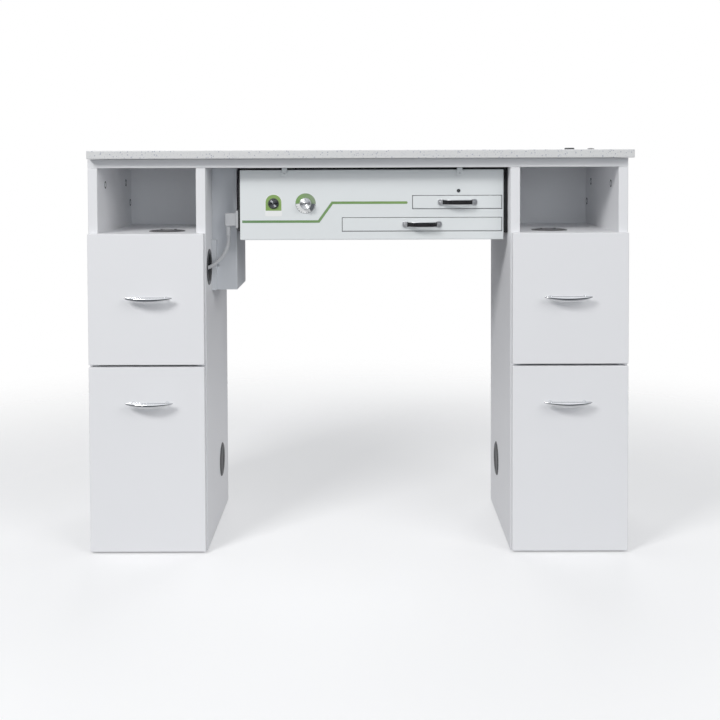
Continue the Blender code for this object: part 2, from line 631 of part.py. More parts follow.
def make_fan():
    x, y = FAN_AT
    mouth = DUCT_HIGH[0] + GAP
    outer = prism(scroll_outline(0, mouth), SCROLL_LOW, SCROLL_HIGH, "XY")
    housing = make("fan_housing", outer, "galvanised")
    low, high = SCROLL_LOW + SCROLL_WALL, SCROLL_HIGH - SCROLL_WALL
    combine(housing, prism(scroll_outline(SCROLL_WALL, mouth - BOARD), low, high, "XY"), "DIFFERENCE")
    eye = bmesh.new()
    add_rod(eye, (x, y, SCROLL_LOW - 0.005), (0, 0, 1), 0.010, 0.040, sides=32)
    add_rod(eye, (x, y, SCROLL_HIGH - 0.005), (0, 0, 1), 0.010, 0.008, sides=16)
    combine(housing, eye, "DIFFERENCE")

    plate_low, plate_high = high - 0.009, high - 0.006
    blade_low, blade_high = low + 0.006, plate_low + 0.001
    hub = [(0, plate_low - 0.012), (0.009, plate_low - 0.012), (0.011, plate_low),
           (IMPELLER_R, plate_low), (IMPELLER_R, plate_high), (SHAFT_R, plate_high),
           (SHAFT_R, SCROLL_HIGH + 0.016), (0, SCROLL_HIGH + 0.016)]
    wheel = make("fan_impeller", turned(hub, (x, y, 0), sides=36), "black_plastic", (x, y, plate_low))
    blades = bmesh.new()
    depth, thick, count = 0.014, 0.0016, 18
    for k in range(count):
        angle = 2 * math.pi * (k + 0.5) / count
        turn = Matrix.Rotation(angle, 4, "Z")
        lean = Matrix.Rotation(math.radians(28), 4, "Z")
        middle = Matrix.Translation((IMPELLER_R - depth / 2 - 0.001, 0, 0))
        size = Matrix.Diagonal((depth, thick, blade_high - blade_low, 1.0))
        centre = Matrix.Translation((x, y, (blade_low + blade_high) / 2))
        bmesh.ops.create_cube(blades, size=1.0, matrix=centre @ turn @ middle @ lean @ size)
    combine(wheel, blades, "UNION")

    bore_r, top = SHAFT_R + 2 * GAP, SCROLL_HIGH + 0.028
    motor = [(0, SCROLL_HIGH + 0.018), (bore_r, SCROLL_HIGH + 0.018), (bore_r, SCROLL_HIGH + GAP),
             (0.029, SCROLL_HIGH + GAP), (0.030, SCROLL_HIGH + 0.002), (0.030, top - 0.003),
             (0.027, top), (0, top)]
    make("fan_motor", turned(motor, (x, y, 0), sides=28), "motor_steel", smooth=True)


def make_duct():
    """The exhaust duct on the left pedestal: fan on its right, open below."""
    duct = make("exhaust_duct", boxes((DUCT_LOW, DUCT_HIGH)), "painted_steel")
    front, right, top = DUCT_FLANGE
    flange = ((DUCT_LOW[0], front, DUCT_LOW[2]), (right, DUCT_LOW[1] + SHEET / 2, top))
    combine(duct, boxes(flange), "UNION")
    low = Vector(DUCT_LOW) + Vector((SHEET, SHEET, -BOARD))
    high = Vector(DUCT_HIGH) - Vector((SHEET, SHEET, SHEET))
    combine(duct, boxes((low, high)), "DIFFERENCE")
    near, far = scroll_outlet()
    mouth = ((DUCT_HIGH[0] - LIP, near, SCROLL_LOW), (DUCT_HIGH[0] + LIP, far, SCROLL_HIGH))
    combine(duct, boxes(mouth), "DIFFERENCE")


# ---------------------------------------------------------------- mains lead
def make_inlet_and_connector():
    left = VAC_LEFT + SHEET
    outer = CONNECTOR_HIGH[0] + GAP
    flange = ((outer, *INLET_FLANGE[0]), (left, *INLET_FLANGE[1]))
    inlet = bevel(make("power_inlet", boxes(flange), "pale_plastic"), EDGE)
    low, high, end = INLET_BODY
    combine(inlet, boxes(((left - 0.002, *low), (end, *high))), "UNION")
    low, high, end = CONNECTOR_NOSE
    nose_low, nose_high = Vector((outer - LIP, *low)), Vector((end, *high))
    slack = Vector((0.0005, 0.0005, 0.0005))
    combine(inlet, boxes((nose_low - slack, nose_high + slack)), "DIFFERENCE")

    plug = make("cord_connector", boxes((CONNECTOR_LOW, CONNECTOR_HIGH)), "pale_plastic", smooth=True)
    bevel(plug, 0.002)
    nose = boxes(((CONNECTOR_HIGH[0] - 0.004, *low), nose_high))
    relief = (RELIEF_X, (CONNECTOR_LOW[1] + CONNECTOR_HIGH[1]) / 2, CONNECTOR_LOW[2] + 0.004)
    add_rod(nose, relief, (0, 0, -1), RELIEF_LENGTH, 0.0052, 0.0040, 16)
    combine(plug, nose, "UNION")


def smooth_route(points, spacing):
    """Points an even distance apart on a Catmull-Rom curve through the route's own points."""
    route = [Vector(point) for point in points]
    padded = [route[0] * 2 - route[1], *route, route[-1] * 2 - route[-2]]
    fine = []
    for before, a, b, after in zip(padded, padded[1:], padded[2:], padded[3:]):
        for k in range(16):
            t = k / 16
            square = 2 * before - 5 * a + 4 * b - after
            cube = 3 * a - before - 3 * b + after
            fine.append(0.5 * (2 * a + (b - before) * t + square * t * t + cube * t ** 3))
    fine.append(route[-1])
    travelled = [0.0]
    for a, b in zip(fine, fine[1:]):
        travelled.append(travelled[-1] + (b - a).length)
    count = round(travelled[-1] / spacing)
    even, j = [], 0
    for k in range(count + 1):
        target = travelled[-1] * k / count
        while j < len(fine) - 2 and travelled[j + 1] < target:
            j += 1
        part = (target - travelled[j]) / (travelled[j + 1] - travelled[j])
        even.append(fine[j].lerp(fine[j + 1], part))
    return even


def make_cord():
    points = smooth_route(CORD_ROUTE, CORD * 2)
    curve = bpy.data.curves.new("cord", "CURVE")
    curve.dimensions = "3D"
    curve.bevel_depth = CORD / 2
    curve.bevel_resolution = 2
    curve.use_fill_caps = True
    curve.materials.append(bpy.data.materials["cord_rubber"])
    spline = curve.splines.new("POLY")
    spline.points.add(len(points) - 1)
    for knot, point in zip(spline.points, points):
        knot.co = (*point, 1.0)
    place(bpy.data.objects.new("cord", curve), (0, 0, 0))

    low = BOTTOM_BOARD_TOP + GAP
    inner, outer = COIL_MIDDLE_R - CORD, COIL_MIDDLE_R + CORD
    soft = 0.0015
    ring = [(inner, low + soft), (inner + soft, low), (outer - soft, low), (outer, low + soft),
            (outer, low + 2 * CORD - soft), (outer - soft, low + 2 * CORD),
            (inner + soft, low + 2 * CORD), (inner, low + 2 * CORD - soft)]
    make("cord_coil", turned(ring, (*COIL_AT, 0)), "cord_rubber")


def make_plug():
    """A mains plug that lies beside the coil, its axis a tangent of the coil's last turn."""
    turn = Matrix.Rotation(PLUG_TURN, 4, "Z")
    winding = COIL_MIDDLE_R + CORD / 2
    leaves = Matrix.Translation((*COIL_AT, BOTTOM_BOARD_TOP + GAP + 0.010)) @ turn
    bm = bmesh.new()
    relief_start, relief_end, body_end, tip = 0.0262, 0.0520, 0.0850, 0.1010
    length = relief_end - relief_start + 0.004
    add_rod(bm, (relief_start, -winding, 0), (1, 0, 0), length, 0.0040, 0.0062, 16)
    body = ((relief_end, -winding - 0.013, -0.010), (body_end, -winding + 0.013, 0.010))
    plug = boxes(body)
    bmesh.ops.transform(plug, matrix=leaves, verts=plug.verts)
    plug = bevel(make("cord_plug", plug, "pale_plastic"), 0.003)
    for y in (-0.00635, 0.00635):
        add_box(bm, (body_end - 0.004, -winding + y - 0.0008, -0.0032),
                (tip, -winding + y + 0.0008, 0.0032))
    bmesh.ops.transform(bm, matrix=leaves, verts=bm.verts)
    combine(plug, bm, "UNION")


def main():
    clear_scene()
    make_finishes()
    make_carcass_frame()
    make_top()
    make_top_plugs()
    for word, side in SIDES.items():
        make_pedestal(word, side)
        for level in DRAWERS:
            make_pedestal_drawer(word, side, level)
        make_cubby_grommet(word, side)
    make_side_grommets()
    make_front_panel()
    make_chassis()
    make_trays()
    make_controls()
    make_fan()
    make_duct()
    make_inlet_and_connector()
    make_cord()
    make_plug()


main()
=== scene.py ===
# %% [markdown]
# # Manicure table with a built-in dust extractor
#
# Two white drawer pedestals carry a speckled stone slab, and a sheet-metal extractor hangs between
# them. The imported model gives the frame: every board, rail, tray and joint is there already and
# stays where it is. This script adds the looks: finishes with real surface detail, turned and
# rounded versions of the small parts, the mains lead at its real length, light and a camera.

import json
import math

import bmesh
import bpy
from mathutils import Matrix, Vector

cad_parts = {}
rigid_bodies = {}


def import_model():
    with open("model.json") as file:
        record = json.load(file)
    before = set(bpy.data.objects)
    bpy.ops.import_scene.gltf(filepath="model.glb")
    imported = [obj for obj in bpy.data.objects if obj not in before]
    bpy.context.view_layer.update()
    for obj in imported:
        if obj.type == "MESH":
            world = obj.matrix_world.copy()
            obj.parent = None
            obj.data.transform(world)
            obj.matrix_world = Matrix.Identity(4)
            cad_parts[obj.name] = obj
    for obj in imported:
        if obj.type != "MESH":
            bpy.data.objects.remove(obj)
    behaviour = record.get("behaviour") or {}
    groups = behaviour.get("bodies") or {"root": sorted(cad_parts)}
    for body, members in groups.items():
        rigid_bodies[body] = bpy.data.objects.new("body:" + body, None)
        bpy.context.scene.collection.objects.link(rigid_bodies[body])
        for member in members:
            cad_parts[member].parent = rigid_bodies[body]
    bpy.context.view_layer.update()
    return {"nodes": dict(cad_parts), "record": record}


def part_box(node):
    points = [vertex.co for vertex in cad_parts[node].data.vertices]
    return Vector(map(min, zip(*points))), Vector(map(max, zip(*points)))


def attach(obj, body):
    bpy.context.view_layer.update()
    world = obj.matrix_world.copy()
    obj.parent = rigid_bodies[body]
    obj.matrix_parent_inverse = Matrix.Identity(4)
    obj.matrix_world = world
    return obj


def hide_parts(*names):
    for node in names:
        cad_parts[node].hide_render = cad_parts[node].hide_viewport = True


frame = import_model()

# %% [markdown]
# Small parts are easiest to place the way a joiner measures them: sideways from the carcass's
# centre line, back from its front plane and up from the floor. The pedestals' outer sides give
# that corner, so `spot` turns such a measure into a point of the frame.

# %% Where the carcass is
left_side, right_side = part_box("left_outer_side"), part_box("right_outer_side")
CARCASS = Vector(((left_side[0].x + right_side[1].x) / 2, left_side[0].y, 0.0))
SIDES = {"left": -1, "right": 1}


def spot(x, y, z):
    """The frame's point at a distance right of the centre line, behind the front plane and up."""
    return CARCASS + Vector((x, y, z))


print("carcass corner:", tuple(CARCASS))

# %% [markdown]
# ## Camera
#
# The view is nearly square from the front, from just under the slab's height and tilted two
# degrees down. A long lens from 2.1 m away keeps the pedestals' sides almost parallel, and a small
# upward shift of the sensor frames the table with room above it, as a view camera would.

# %% Make the camera
EYE = spot(0.0080, -2.1367, 0.7407)
YAW, PITCH, ROLL = math.radians(0.05), math.radians(2.0), math.radians(-0.187)
camera_data = bpy.data.cameras.new("camera")
camera_data.lens = 56.64
camera_data.shift_x = -0.0017
camera_data.shift_y = -0.2209
camera = bpy.data.objects.new("camera", camera_data)
turn = Matrix.Rotation(YAW, 4, "Z") @ Matrix.Rotation(math.pi / 2 - PITCH, 4, "X")
camera.matrix_world = Matrix.Translation(EYE) @ turn @ Matrix.Rotation(ROLL, 4, "Z")
bpy.context.scene.collection.objects.link(camera)
bpy.context.scene.camera = camera
print("camera at", tuple(round(v, 4) for v in EYE), "lens", camera_data.lens)

# %% [markdown]
# ## Mains lead
#
# A 7 mm three-core lead plugs into the extractor's left side, droops into the grommet of the left
# pedestal, runs through saddles down its inner side board and lies coiled on the bottom board behind
# the lower drawer. It could be a swept mesh, but one open curve through listed points keeps one
# length and one thickness all along, and its length can be read off. The points stand where a hand
# would clip the lead, close together in the bends.

# %% The lead's route
CORD = 0.007
CORD_ROUTE = [
    (-0.2530, 0.0710, 0.6060), (-0.2530, 0.0710, 0.5952), (-0.2530, 0.0710, 0.5860),
    (-0.2550, 0.0698, 0.5750), (-0.2595, 0.0670, 0.5645), (-0.2660, 0.0628, 0.5550),
    (-0.2740, 0.0580, 0.5468), (-0.2820, 0.0530, 0.5405), (-0.2910, 0.0488, 0.5360),
    (-0.3010, 0.0470, 0.5330), (-0.3120, 0.0480, 0.5308), (-0.3225, 0.0535, 0.5290),
    (-0.3295, 0.0630, 0.5275), (-0.3325, 0.0750, 0.5262), (-0.3315, 0.0890, 0.5250),
    (-0.3265, 0.1060, 0.5238), (-0.3200, 0.1260, 0.5225), (-0.3145, 0.1500, 0.5210),
    (-0.3118, 0.1780, 0.5190), (-0.3115, 0.2080, 0.5165), (-0.3115, 0.2360, 0.5120),
    (-0.3115, 0.2610, 0.5030), (-0.3115, 0.2820, 0.4870), (-0.3115, 0.2960, 0.4650),
    (-0.3115, 0.3030, 0.4380), (-0.3115, 0.3045, 0.4050), (-0.3115, 0.3045, 0.3000),
    (-0.3115, 0.3045, 0.1900), (-0.3115, 0.3045, 0.0980), (-0.3130, 0.3045, 0.0760),
    (-0.3185, 0.3045, 0.0580), (-0.3285, 0.3045, 0.0440), (-0.3420, 0.3045, 0.0360),
    (-0.3580, 0.3045, 0.0340), (-0.3750, 0.3045, 0.0338), (-0.4143, 0.3045, 0.0338),
]
print("route points:", len(CORD_ROUTE))

# %% [markdown]
# The coil is worked out turn by turn, because nobody places a coil's points by hand. There are two
# windings beside each other and two on top. The lead stays on one winding for most of a turn, then
# eases over to the next, so that no two turns cross.

# %% The coil
COIL_AT = (-0.4400, 0.2625)
COIL_STAGES = [(0.0420, 0.0338), (0.0350, 0.0338), (0.0350, 0.0408), (0.0420, 0.0408)]
COIL_ENTRY, COIL_EXIT = 90.0, 290.0
HOP_START, HOP_SPAN = 0.80, 0.18  # the part of a turn in which the lead moves to its next winding
PLUG_ENTRY = 0.040  # from the coil's last tangent point to the lead's end inside the plug


def coil_points(step=10.0):
    """Points round the coil; each winding moves to its next place in the last part of its turn."""
    points = []
    travel = 360.0 * 3 + COIL_EXIT - COIL_ENTRY
    for k in range(round(travel / step) + 1):
        turns = k * step / 360.0
        stage = min(int(turns), 3)
        after = min(stage + 1, 3)
        part = min(max((turns - stage - HOP_START) / HOP_SPAN, 0.0), 1.0)
        part = part * part * (3 - 2 * part)
        (r0, z0), (r1, z1) = COIL_STAGES[stage], COIL_STAGES[after]
        radius, height = r0 + (r1 - r0) * part, z0 + (z1 - z0) * part
        angle = math.radians(COIL_ENTRY) + turns * 2 * math.pi
        points.append((COIL_AT[0] + radius * math.cos(angle),
                       COIL_AT[1] + radius * math.sin(angle), height))
    last = math.radians(COIL_EXIT)
    way = (-math.sin(last), math.cos(last))
    x, y, z = points[-1]
    for reach in (PLUG_ENTRY / 2, PLUG_ENTRY):
        points.append((x + way[0] * reach, y + way[1] * reach, z - 0.0005))
    return points


print("coil turns:", round((360.0 * 3 + COIL_EXIT - COIL_ENTRY) / 360.0, 2))

# %% [markdown]
# A Catmull-Rom curve passes through every point it is given, so the lead goes where it was placed. It
# is cut into even steps, which keeps the tube's rings evenly spaced in bends and straights alike.

# %% Make the lead
def smooth_route(points, spacing):
    """Points an even distance apart on a Catmull-Rom curve through the route's own points."""
    route = [Vector(point) for point in points]
    padded = [route[0] * 2 - route[1], *route, route[-1] * 2 - route[-2]]
    fine = []
    for before, a, b, after in zip(padded, padded[1:], padded[2:], padded[3:]):
        for k in range(16):
            t = k / 16
            square = 2 * before - 5 * a + 4 * b - after
            cube = 3 * a - before - 3 * b + after
            fine.append(0.5 * (2 * a + (b - before) * t + square * t * t + cube * t ** 3))
    fine.append(route[-1])
    travelled = [0.0]
    for a, b in zip(fine, fine[1:]):
        travelled.append(travelled[-1] + (b - a).length)
    count = round(travelled[-1] / spacing)
    even, j = [], 0
    for k in range(count + 1):
        target = travelled[-1] * k / count
        while j < len(fine) - 2 and travelled[j + 1] < target:
            j += 1
        part = (target - travelled[j]) / (travelled[j + 1] - travelled[j])
        even.append(fine[j].lerp(fine[j + 1], part))
    return even, travelled[-1]


lead_points, lead_length = smooth_route(CORD_ROUTE + coil_points(), 0.005)
lead_curve = bpy.data.curves.new("mains_lead", "CURVE")
lead_curve.dimensions = "3D"
lead_curve.bevel_depth = CORD / 2
lead_curve.bevel_resolution = 4
lead_curve.use_fill_caps = True
spline = lead_curve.splines.new("POLY")
spline.points.add(len(lead_points) - 1)
for knot, point in zip(spline.points, lead_points):
    knot.co = (*(CARCASS + point), 1.0)
spline.use_smooth = True
mains_lead = bpy.data.objects.new("mains_lead", lead_curve)
bpy.context.scene.collection.objects.link(mains_lead)
print("lead:", round(lead_length, 3), "m in", len(lead_points), "points")

# %% [markdown]
# ## Tools for modelling
#
# Most parts below are made as by hand: add a primitive, go into edit mode, select some faces or
# edges by where they are, and extrude, inset, bevel or spin them. These few helpers keep the
# selection clean, because an operator acts on everything that is selected.

# %% Select pieces and their parts
def only(piece):
    """Makes a piece the one selected and active object, in object mode."""
    if bpy.context.object and bpy.context.object.mode != "OBJECT":
        bpy.ops.object.mode_set(mode="OBJECT")
    bpy.ops.object.select_all(action="DESELECT")
    piece.select_set(True)
    bpy.context.view_layer.objects.active = piece
    return piece


def none_selected():
    """Leaves edit mode and deselects every object."""
    if bpy.context.object and bpy.context.object.mode != "OBJECT":
        bpy.ops.object.mode_set(mode="OBJECT")
    bpy.ops.object.select_all(action="DESELECT")


def pick(piece, kind, test):
    """In edit mode, selects the faces, edges or vertices for which test is true."""
    if bpy.context.object != piece or piece.mode != "EDIT":
        only(piece)
        bpy.ops.object.mode_set(mode="EDIT")
    bpy.ops.mesh.select_mode(type=kind)
    bpy.ops.mesh.select_all(action="DESELECT")
    mesh = bmesh.from_edit_mesh(piece.data)
    group = {"VERT": mesh.verts, "EDGE": mesh.edges, "FACE": mesh.faces}[kind]
    chosen = [item for item in group if test(item)]
    for item in chosen:
        item.select_set(True)
    mesh.select_flush_mode()
    bmesh.update_edit_mesh(piece.data)
    return len(chosen)


def middle(item):
    """The middle of an edge or face."""
    points = [vert.co for vert in item.verts]
    return sum(points, Vector()) / len(points)


print("selecting tools:", only.__name__, none_selected.__name__, pick.__name__)

# %% [markdown]
# Boards, clips and plugs start as a cube whose edges are bevelled, because moulded and sawn parts
# have no razor edges. A test says which edges: all of them, those that run one way, or those that
# lie in one place.

# %% Blocks with soft edges
def block(name, low, high):
    """A cube primitive stretched to two corners, its place kept in its mesh."""
    none_selected()
    low, high = Vector(low), Vector(high)
    bpy.ops.mesh.primitive_cube_add(size=1.0, location=(low + high) / 2)
    piece = bpy.context.object
    piece.name = name
    piece.scale = high - low
    bpy.ops.object.transform_apply(location=True, rotation=True, scale=True)
    return piece


def soften(piece, width, segments=3, test=lambda edge: True):
    """Rounds the edges for which test is true."""
    pick(piece, "EDGE", test)
    bpy.ops.mesh.bevel(offset=width, segments=segments, affect="EDGES")
    bpy.ops.object.mode_set(mode="OBJECT")
    return piece


def along(axis):
    """A test for edges that run along X, Y or Z."""
    index = "XYZ".index(axis)

    def test(edge):
        way = (edge.verts[1].co - edge.verts[0].co).normalized()
        return abs(way[index]) > 0.99
    return test


print("shaping tools:", block.__name__, soften.__name__, along.__name__)

# %% [markdown]
# Round parts start as one vertex that is extruded along an outline and spun about an axis, which is
# how a lathe makes them. A Screw modifier would do too, but the spin needs no axis object. The seam
# is merged after it, and then the faces are turned to look outwards.

# %% Turned parts
def turned(name, profile, at, axis, steps=48):
    """Draws a (radius, height) outline from one vertex by extruding it, then spins it round."""
    none_selected()
    bpy.ops.mesh.primitive_plane_add(size=0.01, location=(0, 0, 0))
    piece = bpy.context.object
    piece.name = name
    axis = Vector(axis).normalized()
    outward = axis.orthogonal().normalized()
    places = [Vector(at) + outward * radius + axis * height for radius, height in profile]
    bpy.ops.object.mode_set(mode="EDIT")
    bpy.ops.mesh.select_mode(type="VERT")
    bpy.ops.mesh.select_all(action="SELECT")
    bpy.ops.mesh.merge(type="CENTER")
    bpy.ops.transform.translate(value=places[0])
    for here, there in zip(places, places[1:]):
        bpy.ops.mesh.extrude_region_move(TRANSFORM_OT_translate={"value": there - here})
    bpy.ops.mesh.select_all(action="SELECT")
    bpy.ops.mesh.spin(steps=steps, angle=2 * math.pi, center=at, axis=axis)
    bpy.ops.mesh.select_all(action="SELECT")
    bpy.ops.mesh.remove_doubles(threshold=0.00001)
    bpy.ops.mesh.normals_make_consistent(inside=False)
    bpy.ops.object.mode_set(mode="OBJECT")
    return piece


print("turning tool:", turned.__name__)

# %% [markdown]
# Parts of one moulding are joined into one mesh, holes are cut with a Boolean that is applied at
# once, and every finished piece gets its smoothing, its material and the body that it rides on,
# while the imported pieces that it stands for are hidden.

# %% Join, cut and finish
def join(first, *others):
    """Joins pieces into the first."""
    only(first)
    for other in others:
        other.select_set(True)
    bpy.ops.object.join()
    return first


def cut(piece, tool, operation="DIFFERENCE"):
    """Cuts a tool out of a piece, or joins it on, with a Boolean that is applied at once."""
    only(piece)
    step = piece.modifiers.new("cut", "BOOLEAN")
    step.object = tool
    step.operation = operation
    step.solver = "EXACT"
    bpy.ops.object.modifier_apply(modifier=step.name)
    bpy.data.objects.remove(tool, do_unlink=True)
    return piece


def finish(piece, material, body="cabinet", replaces=(), angle=35):
    """Smooths a piece, gives it its material and its body, and hides the CAD nodes it stands for."""
    if piece.type == "MESH":
        only(piece)
        bpy.ops.object.shade_smooth_by_angle(angle=math.radians(angle))
    piece.data.materials.clear()
    piece.data.materials.append(material)
    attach(piece, body)
    if replaces:
        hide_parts(*replaces)
    return piece


print("finishing tools:", join.__name__, cut.__name__, finish.__name__)

# %% [markdown]
# ## Finishes
#
# Real surfaces are never one flat colour. Laminate has a faint pebble from its press plate, powder
# coat has orange peel, zinc has large pale crystals. Effects that several finishes share are node
# groups with named sockets: a soft change of tone, a fine relief, wear on edges and dust on what
# faces up. Each group gives a colour, a mask or a height, and the shader stays in the material.

# %% New node groups
def new_group(name, inputs, outputs):
    """A shader node group with typed sockets; gives the tree and its two end nodes."""
    group = bpy.data.node_groups.new(name, "ShaderNodeTree")
    kinds = {"value": "NodeSocketFloat", "colour": "NodeSocketColor", "vector": "NodeSocketVector"}
    for socket, kind, value in inputs:
        made = group.interface.new_socket(name=socket, in_out="INPUT", socket_type=kinds[kind])
        if value is not None:
            made.default_value = value
    for socket, kind in outputs:
        group.interface.new_socket(name=socket, in_out="OUTPUT", socket_type=kinds[kind])
    start = group.nodes.new("NodeGroupInput")
    end = group.nodes.new("NodeGroupOutput")
    return group, start, end


print("group tool:", new_group.__name__)

# %% [markdown]
# A node tree written out link by link is hard to read. One helper therefore adds a node and fills its
# sockets at once: a socket that is given is linked, a number or colour is set. Three more give the
# results that are needed most: a sum, a mix of two colours and a ramp.

# %% Nodes and links
def add(tree, kind, settings=None, **links):
    """Adds a node, sets its properties, and links or sets its inputs by name or number."""
    node = tree.nodes.new("ShaderNode" + kind)
    for name, value in (settings or {}).items():
        setattr(node, name, value)
    for name, value in links.items():
        key = int(name[1:]) if name[0] == "i" and name[1:].isdigit() else name.replace("_", " ")
        socket = node.inputs[key]
        if isinstance(value, bpy.types.NodeSocket):
            tree.links.new(value, socket)
        else:
            socket.default_value = value
    return node


def arithmetic(tree, operation, first, second=0.5, clamp=False):
    """A Math node's value from two sockets or numbers."""
    settings = {"operation": operation, "use_clamp": clamp}
    return add(tree, "Math", settings, i0=first, i1=second).outputs[0]


def blended(tree, amount, first, second):
    """A colour between two, as a mask says."""
    node = add(tree, "Mix", {"data_type": "RGBA"}, i0=amount, i6=first, i7=second)
    return node.outputs[2]


def shades(tree, fac, stops, interpolation="LINEAR"):
    """A colour ramp with (place, colour) stops."""
    ramp = add(tree, "ValToRGB", Fac=fac)
    ramp.color_ramp.interpolation = interpolation
    elements = ramp.color_ramp.elements
    while len(elements) < len(stops):
        elements.new(0.5)
    for element, (place, colour) in zip(elements, stops):
        element.position = place
        element.color = (*colour, 1.0)
    return ramp.outputs["Color"]


print("node tools:", add.__name__, arithmetic.__name__, blended.__name__, shades.__name__)

# %% [markdown]
# The first two effects change a surface everywhere. A slow noise drifts its tone between two colours,
# which keeps a large white board from looking like paper. A fine noise on top of a broader one gives
# the height of a pebbled or sprayed skin, for a Bump node to read.

# %% Tone and relief
def make_cloud_group():
    """Drifts between two colours with a soft noise."""
    group, start, end = new_group(
        "cloudy_tone",
        [("Vector", "vector", None), ("Colour", "colour", None), ("Other", "colour", None),
         ("Scale", "value", 8.0), ("Amount", "value", 0.5)],
        [("Colour", "colour"), ("Cloud", "value")],
    )
    noise = add(group, "TexNoise", Vector=start.outputs["Vector"], Scale=start.outputs["Scale"],
                Detail=4.0, Roughness=0.55)
    cloud = arithmetic(group, "MULTIPLY", noise.outputs["Fac"], start.outputs["Amount"])
    mixed = blended(group, cloud, start.outputs["Colour"], start.outputs["Other"])
    group.links.new(mixed, end.inputs["Colour"])
    group.links.new(noise.outputs["Fac"], end.inputs["Cloud"])
    return group


def make_relief_group():
    """A fine grain with a broader one under it."""
    group, start, end = new_group(
        "fine_relief",
        [("Vector", "vector", None), ("Scale", "value", 900.0), ("Coarse", "value", 0.3)],
        [("Height", "value")],
    )
    fine = add(group, "TexNoise", Vector=start.outputs["Vector"], Scale=start.outputs["Scale"],
               Detail=2.0)
    slow = arithmetic(group, "MULTIPLY", start.outputs["Scale"], 0.12)
    broad = add(group, "TexNoise", Vector=start.outputs["Vector"], Scale=slow, Detail=1.0)
    share = arithmetic(group, "MULTIPLY", broad.outputs["Fac"], start.outputs["Coarse"])
    height = arithmetic(group, "ADD", fine.outputs["Fac"], share)
    group.links.new(height, end.inputs["Height"])
    return group


CLOUD, RELIEF = make_cloud_group(), make_relief_group()
print("node groups:", CLOUD.name, RELIEF.name)

# %% [markdown]
# The other two pick out places. Paint wears where a surface turns a corner: a Bevel node's normal
# differs from the true one only there. Dust settles on what faces up. Noise breaks both masks into
# patches, because neither wear nor dust is even.

# %% Wear and dust
def make_wear_group():
    """A mask of broken wear along edges."""
    group, start, end = new_group(
        "edge_wear",
        [("Vector", "vector", None), ("Width", "value", 0.002), ("Amount", "value", 0.5)],
        [("Mask", "value")],
    )
    rounded = add(group, "Bevel", {"samples": 4}, Radius=start.outputs["Width"])
    flat = add(group, "NewGeometry")
    facing = add(group, "VectorMath", {"operation": "DOT_PRODUCT"}, i0=rounded.outputs[0],
                 i1=flat.outputs["Normal"])
    turned_away = arithmetic(group, "SUBTRACT", 1.0, facing.outputs["Value"])
    edge = arithmetic(group, "MULTIPLY", turned_away, 6.0, clamp=True)
    patches = add(group, "TexNoise", Vector=start.outputs["Vector"], Scale=60.0, Detail=3.0)
    broken = arithmetic(group, "MULTIPLY", edge, patches.outputs["Fac"])
    mask = arithmetic(group, "MULTIPLY", broken, start.outputs["Amount"], clamp=True)
    group.links.new(mask, end.inputs["Mask"])
    return group


def make_dust_group():
    """A mask of patchy dust on what faces up."""
    group, start, end = new_group(
        "settled_dust",
        [("Vector", "vector", None), ("Scale", "value", 30.0), ("Amount", "value", 0.2)],
        [("Mask", "value")],
    )
    facing = add(group, "NewGeometry")
    split = add(group, "SeparateXYZ", i0=facing.outputs["Normal"])
    upward = arithmetic(group, "MAXIMUM", split.outputs["Z"], 0.0)
    patches = add(group, "TexNoise", Vector=start.outputs["Vector"], Scale=start.outputs["Scale"],
                  Detail=5.0)
    patchy = arithmetic(group, "MULTIPLY", upward, patches.outputs["Fac"])
    mask = arithmetic(group, "MULTIPLY", patchy, start.outputs["Amount"], clamp=True)
    group.links.new(mask, end.inputs["Mask"])
    return group


WEAR, DUST = make_wear_group(), make_dust_group()
print("node groups:", WEAR.name, DUST.name)

# %% [markdown]
# A material starts from Object coordinates, so its grain keeps its real size on every piece and
# moves with a drawer that slides. A group is placed in it by name and given its own values.

# %% Start a material
def grouped(tree, group, **links):
    """Places a node group in a material, with its own values."""
    node = tree.nodes.new("ShaderNodeGroup")
    node.node_tree = group
    for name, value in links.items():
        if isinstance(value, bpy.types.NodeSocket):
            tree.links.new(value, node.inputs[name])
        else:
            node.inputs[name].default_value = value
    return node


def rgba(colour):
    """A colour with full alpha."""
    return (*colour, 1.0)


def start_material(name):
    """A new material, its tree, its shader and its Object coordinates."""
    material = bpy.data.materials.new(name)
    material.use_nodes = True
    tree = material.node_tree
    place = add(tree, "TexCoord").outputs["Object"]
    return material, tree, tree.nodes["Principled BSDF"], place


print("material tools:", grouped.__name__, start_material.__name__)

# %% [markdown]
# Nearly every finish is built alike, so one function takes the values in which they differ: two
# tones, gloss, grain, wear and dust. The gloss follows the cloud a little, as handled surfaces do.
# Sawn edges get a small rounding in the shading alone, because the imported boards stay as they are.

# %% A coated surface
DUST_GREY = (0.55, 0.54, 0.52, 1.0)
GRAIN_DEPTH = 0.0004


